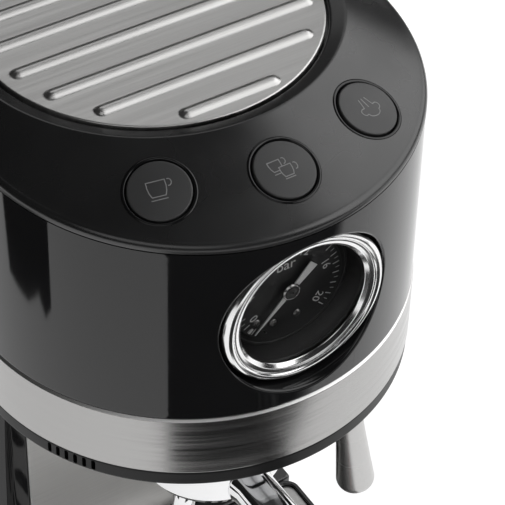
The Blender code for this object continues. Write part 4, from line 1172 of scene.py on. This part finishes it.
def make_drip_tray():
    ledge_z, floor_z, rim, ledge = 37.5, 10.6, 2, 3

    def tray_outline(inset):
        return d_outline(BASE_RADIUS - inset, BASE_CENTRE_Y, TRAY_BACK - inset, 6.2 - inset)

    rings = round_over(tray_outline, TRAY_BOTTOM, BASE_TOP, 0.8, 1.2)
    rings += [raised(tray_outline(inset), height) for inset, height in (
        (rim - 0.3, BASE_TOP), (rim, BASE_TOP - 0.3), (rim, ledge_z), (rim + ledge - 0.4, ledge_z),
        (rim + ledge, ledge_z - 0.4), (rim + ledge, floor_z + 0.8), (rim + ledge + 0.8, floor_z),
    )]
    piece("drip_tray_moulding", skin(rings), SATIN_BLACK, "drip_tray")
    slots = []
    pitch, half_width, border, half_rib, float_room = 9.8, 2.4, 12, 4, 12.5
    for column in range(-6, 7):
        x = pitch * column
        front = BASE_CENTRE_Y - math.sqrt((BASE_RADIUS - border) ** 2 - x ** 2)
        back = TRAY_BACK - border
        centre = (front + back) / 2
        if column == 0:
            front += float_room
        for near, far in ((front, centre - half_rib), (centre + half_rib, back)):
            slots.append(slot_outline((x, (near + far) / 2), (far - near) / 2, half_width, upright=True))
    float_y = middle("tray_float").y
    hole = arc((0, float_y), 5.8, 0, 350, 35)
    grid = slab([tray_outline(rim + 0.3), *slots, hole], ledge_z + 0.3, ledge_z + 1.8, 0.3)
    piece("drip_grid_pressed", brush_straight(grid), PLATE_STEEL, "drip_grid")
    float_body = spin([
        (0, 39.6), (4.4, 39.6), (5, 38.8), (5, 33), (8, 32.5), (8, 25), (3, 25), (3, 10.9), (0, 10.9),
    ], 0.5, 48)
    piece("tray_float_moulding", float_body, RED, "tray_float", (0, float_y, 0))


# ---- column and what it holds

def plate_over(node, corner, thickness, edge):
    """An upright plate as wide and high as a CAD node, facing the front."""
    (x0, _, z0), (x1, y1, z1) = low(node), high(node)
    return slab([rounded_box((x0, z0), (x1, z1), corner, corner)], 0, thickness, edge), (0, y1, 0)


def make_column():
    wall, corner = 2.5, 12

    def channel(inset):
        """A U open to the back."""
        half, front, radius = COLUMN_HIGH.x - inset, COLUMN_LOW.y + inset, corner - inset
        left = [(-half, COLUMN_HIGH.y)] + arc((radius - half, front + radius), radius, 180, 270, 16)
        return left + arc((half - radius, front + radius), radius, 270, 360, 16) + [(half, COLUMN_HIGH.y)]

    column = slab([channel(0) + channel(wall)[::-1]], COLUMN_LOW.z, COLUMN_HIGH.z, 0.2)
    piece("column_moulding", column, GLOSS_BLACK, "column_shell")
    sheet, place = plate_over("splash_panel", 6, 1, 0.3)
    piece("splash_panel_sheet", brush_straight(sheet), PLATE_STEEL, "splash_panel", place, FRONT)
    cover, place = plate_over("rear_cover", 4, 2, 0.6)
    piece("rear_cover_plate", cover, DARK_GREY, "rear_cover", place, FRONT)
    for i in (1, 2):
        head = lathe([(0, 1.5), (1.2, 1.45), (2.2, 1.2), (2.8, 0.8), (3, 0.4), (3, 0), (0, 0)], 48)
        cross = [brick((-1.7, -0.3, 0.7), (1.7, 0.3, 2)), brick((-0.3, -1.7, 0.7), (0.3, 1.7, 2))]
        node = f"cover_screw_{i}"
        place = (middle(node).x, low(node).y, middle(node).z)
        screw = brush_round(carve(head, cross), 2)
        piece(f"cover_screw_head_{i}", screw, TURNED_STEEL, node, place, REAR @ turned(25 * i))


def make_works():
    corner, far = low("thermoblock"), high("thermoblock")
    grooves = []
    for y in (corner.y + 10.5 + 9 * i for i in range(7)):
        grooves.append(brick((corner.x - 10, y - 1.2, far.z - 3), (far.x + 10, y + 1.2, far.z + 10)))
    piece("thermoblock_casting", carve(brick(corner, far, 2), grooves), ALUMINIUM, "thermoblock")
    pump = spin([
        (0, 145), (6, 145), (6, 133), (14, 131), (14, 120), (21, 120), (21, 114), (20.4, 113), (20.4, 87),
        (21, 86), (21, 80), (14, 80), (14, 68), (6, 66), (6, 60), (0, 60),
    ], 0.6, 64)
    piece("pump_body", pump, WHITE, "pump", (*middle("pump").xy, 0))
    board = brick(low("control_board"), high("control_board"), 0.3)
    piece("board_panel", board, BOARD, "control_board")
    suction = [
        (0, TANK_VALVE_Y, 34.5), (1, 140, 24), (10, 118, 18), (22, 94, 20), (29, 80, 36), (30, 78, 59.7),
    ]
    piece("suction_tube", sweep(suction, 3, 24, 10), HOSE, "suction_hose")
    pressure = [
        (30, 78, 145.3), (29, 81, 175), (24, 83, 215), (15, 76, 246), (12, 62, 253.5), (12, far.y + 0.3, 254),
    ]
    piece("pressure_tube", sweep(pressure, 2.5, 24, 10), HOSE, "pressure_hose")
    for name, spot in BUTTON_PLACES.items():
        switch = spin([
            (0, -11.4), (2, -11.4), (2, -13), (4.5, -13), (4.5, -16.5), (9, -16.5), (9, -18), (0, -18),
        ], 0.3, 48)
        piece(f"switch_body_{name}", switch, WHITE, f"switch_{name}", *cap_slope_frame(*spot))
    valve = spin([(0, -10.4), (6, -10.4), (6, -18), (9.5, -18), (9.5, -34), (0, -34)], 0.5, 48)
    piece("steam_valve_body", valve, BRASS, "steam_valve", KNOB_PLACE, RIGHT)


# ---- water tank and the base's rear wall

def make_tank():
    def tank_outline(inset):
        cut = min(inset, TANK_WALL)
        return rounded_box(
            (TANK_LOW.x + inset, TANK_LOW.y + inset), (TANK_HIGH.x - inset, TANK_HIGH.y - inset),
            6 - cut, 14 - cut, 14)

    inside, floor_z = TANK_WALL, TANK_LOW.z + TANK_WALL
    rings = round_over(tank_outline, TANK_LOW.z, TANK_HIGH.z, 0.4, 1.8)
    rings += [raised(tank_outline(inset), height) for inset, height in (
        (inside - 0.4, TANK_HIGH.z), (inside, TANK_HIGH.z - 0.4), (inside, floor_z + 1),
        (inside + 0.3, floor_z + 0.3), (inside + 1, floor_z),
    )]
    tank = carve(skin(rings), [pin(8.3, 30, 60, 64, (0, TANK_VALVE_Y))])
    piece("tank_moulding", tank, SMOKE, "water_tank")
    lid_low, lid_high = low("tank_lid").z, high("tank_lid").z
    hinge = Vector((0, TANK_HIGH.y + 0.3, lid_low - 0.1))
    lid = skin(round_over(tank_outline, lid_low, lid_high, 1.2, 0.3))
    scoop = moved(slab([slot_outline((0, 0), 22, 6, 12)], -1.2, 10, 0.8), (0, 126, lid_high))
    piece("tank_lid_moulding", moved(carve(lid, [scoop]), -hinge), SATIN_BLACK, "tank_lid", hinge)
    valve = spin([
        (0, 59), (6, 59), (7.5, 56), (7.5, 49.2), (11.2, 49.2), (11.2, 46.6), (8, 46.6), (8, 42.5), (4.7, 42),
        (4.7, 36.8), (0, 36.8),
    ], 0.4, 64)
    piece("tank_valve_body", valve, WHITE, "tank_valve", (0, TANK_VALVE_Y, 0))


def make_power():
    half_height, half_width, back, face, valley, off_tilt = 9.7, 6.2, -2, 4.8, 3.8, -6.0
    outline = [
        (back, -half_height), (face, -half_height), (valley, 0), (face, half_height), (back, half_height),
    ]
    upright = Matrix(((0, 0, 1, 0), (1, 0, 0, 0), (0, 1, 0, 0), (0, 0, 0, 1)))
    rocker = slab([outline], -half_width, half_width, 0.4)
    turn = turned(off_tilt, "X") @ upright
    piece("power_rocker_moulding", rocker, GLOSS_BLACK, "power_rocker", SWITCH_PLACE, turn)
    gland = spin([
        (7, 2.5), (8.8, 1.2), (9, 0), (6.2, 0), (6.2, -5.5), (3.6, -5.5), (3.6, 2.5),
    ], 0.3, 64, loop=True)
    piece("cord_gland_ring", gland, RUBBER, "cord_gland", GLAND_PLACE, REAR)


# ---- studio

def make_camera():
    azimuth, elevation, roll = -33.453, 43.109, 1.672
    camera = linked("camera", bpy.data.cameras.new("camera"))
    camera.data.lens = 165.5
    camera.data.sensor_width = 36.0
    camera.data.clip_start = 0.05
    place = Matrix.Translation((AXIS + Vector((-329.98, -545.50, 840.44))) * MM)
    camera.matrix_world = place @ turned(azimuth) @ turned(90 - elevation, "X") @ turned(roll)
    bpy.context.scene.camera = camera


def softbox(name, distance, azimuth, elevation, width, height, radiance):
    """A panel of even light, seen from the head in degrees from +X and up. Its sizes are in metres."""
    head = (AXIS + Vector((0, 0, 280))) * MM
    away = turned(azimuth) @ turned(-elevation, "Y") @ Vector((1, 0, 0))
    light = linked(name, bpy.data.lights.new(name, "AREA"))
    light.data.shape = "RECTANGLE"
    light.data.size = width
    light.data.size_y = height
    light.data.energy = radiance * math.pi * width * height
    facing = away.to_track_quat("Z", "Y").to_matrix().to_4x4()
    light.matrix_world = Matrix.Translation(head + away * distance) @ facing


def stage(name, mesh, look, hidden_from=(), place=(0, 0, 0)):
    """Adds a stage piece, hidden from some kinds of rays."""
    mesh.materials.append(look.material)
    item = stand(name, mesh, place)
    for rays in hidden_from:
        setattr(item, "visible_" + rays, False)


def add_card(name, outline, fade_from=None):
    """A black card that lies on the floor for the gloss wall to mirror. One side can fade out."""
    cloth = Look(name, (0.004, 0.004, 0.004), 0.9)
    cloth.vary_colour(cloth.noise(40, 2.0), 0.8, 1.2)
    if fade_from:
        start, fade_along = (*Vector(fade_from) * MM, 0), (0.236, 0.972, 0)
        spot = cloth.node("TexCoord", "Object")
        offset = cloth.node("VectorMath", "Vector", {0: spot, 1: start}, operation="SUBTRACT")
        across = cloth.node("VectorMath", "Value", {0: offset, 1: fade_along}, operation="DOT_PRODUCT")
        cloth.link(cloth.span(across, 1.0, 0.0, -0.02, 0.02), "Alpha")
    stage(name, slab([outline], 0.5, 1.5), cloth, ("camera", "diffuse", "shadow"))


def make_studio():
    pale = Look("floor", (0.5, 0.5, 0.5), 0.8, Emission_Color=(1, 1, 1, 1), Emission_Strength=0.85)
    pale.vary_colour(pale.noise(3, 2.0), 0.99, 1.01)
    build = bmesh.new()
    bmesh.ops.create_grid(build, x_segments=2, y_segments=2, size=4000)
    stage("floor", mesh_from(build, outward=False), pale, place=-AXIS)
    radius, height = 3900, 4000
    build = bmesh.new()
    bmesh.ops.create_cone(build, cap_ends=False, segments=96, radius1=radius, radius2=radius, depth=height)
    bmesh.ops.translate(build, verts=build.verts, vec=(0, 0, height / 2))
    stage("backdrop", mesh_from(build, outward=False), pale, ("glossy", "diffuse", "shadow"), -AXIS)
    add_card("card_front", [
        (-120, -154), (-604, -749), (100, -1000), (750, -800), (750, -300), (120, -160),
    ], (-30, -250))
    add_card("card_left", [
        (-365, 11.5), (-355, 30), (-366, 55), (-348, 90), (-335, 160), (-460, 300), (-620, 250), (-600, 49),
    ])

    world = bpy.data.worlds.new("studio")
    world.use_nodes = True
    sky = world.node_tree
    up = add_node(sky, "SeparateXYZ", "Z", {"Vector": add_node(sky, "TexCoord", "Generated")})
    strength = add_node(sky, "MapRange", "Result", {
        "Value": up, "From Min": 0.0, "From Max": 0.7, "To Min": 0.10, "To Max": 0.45})
    sky.links.new(strength, sky.nodes["Background"].inputs["Strength"])
    bpy.context.scene.world = world

    softbox("softbox_right", 1.6, -17, 37, 2.4, 1.6, 1.7)
    softbox("softbox_rear", 1.8, 60, 46, 1.3, 1.0, 0.60)
    softbox("softbox_left", 1.6, 230, 44, 1.3, 0.8, 0.8)
    bpy.context.scene.view_settings.view_transform = "Standard"


for make in (
    make_camera, make_studio, make_wall, make_band, make_lip, make_cap, make_plate, make_buttons, make_gauge,
    make_wand, make_knob, make_group, make_portafilter, make_base, make_drip_tray, make_column, make_works,
    make_tank, make_power,
):
    make()
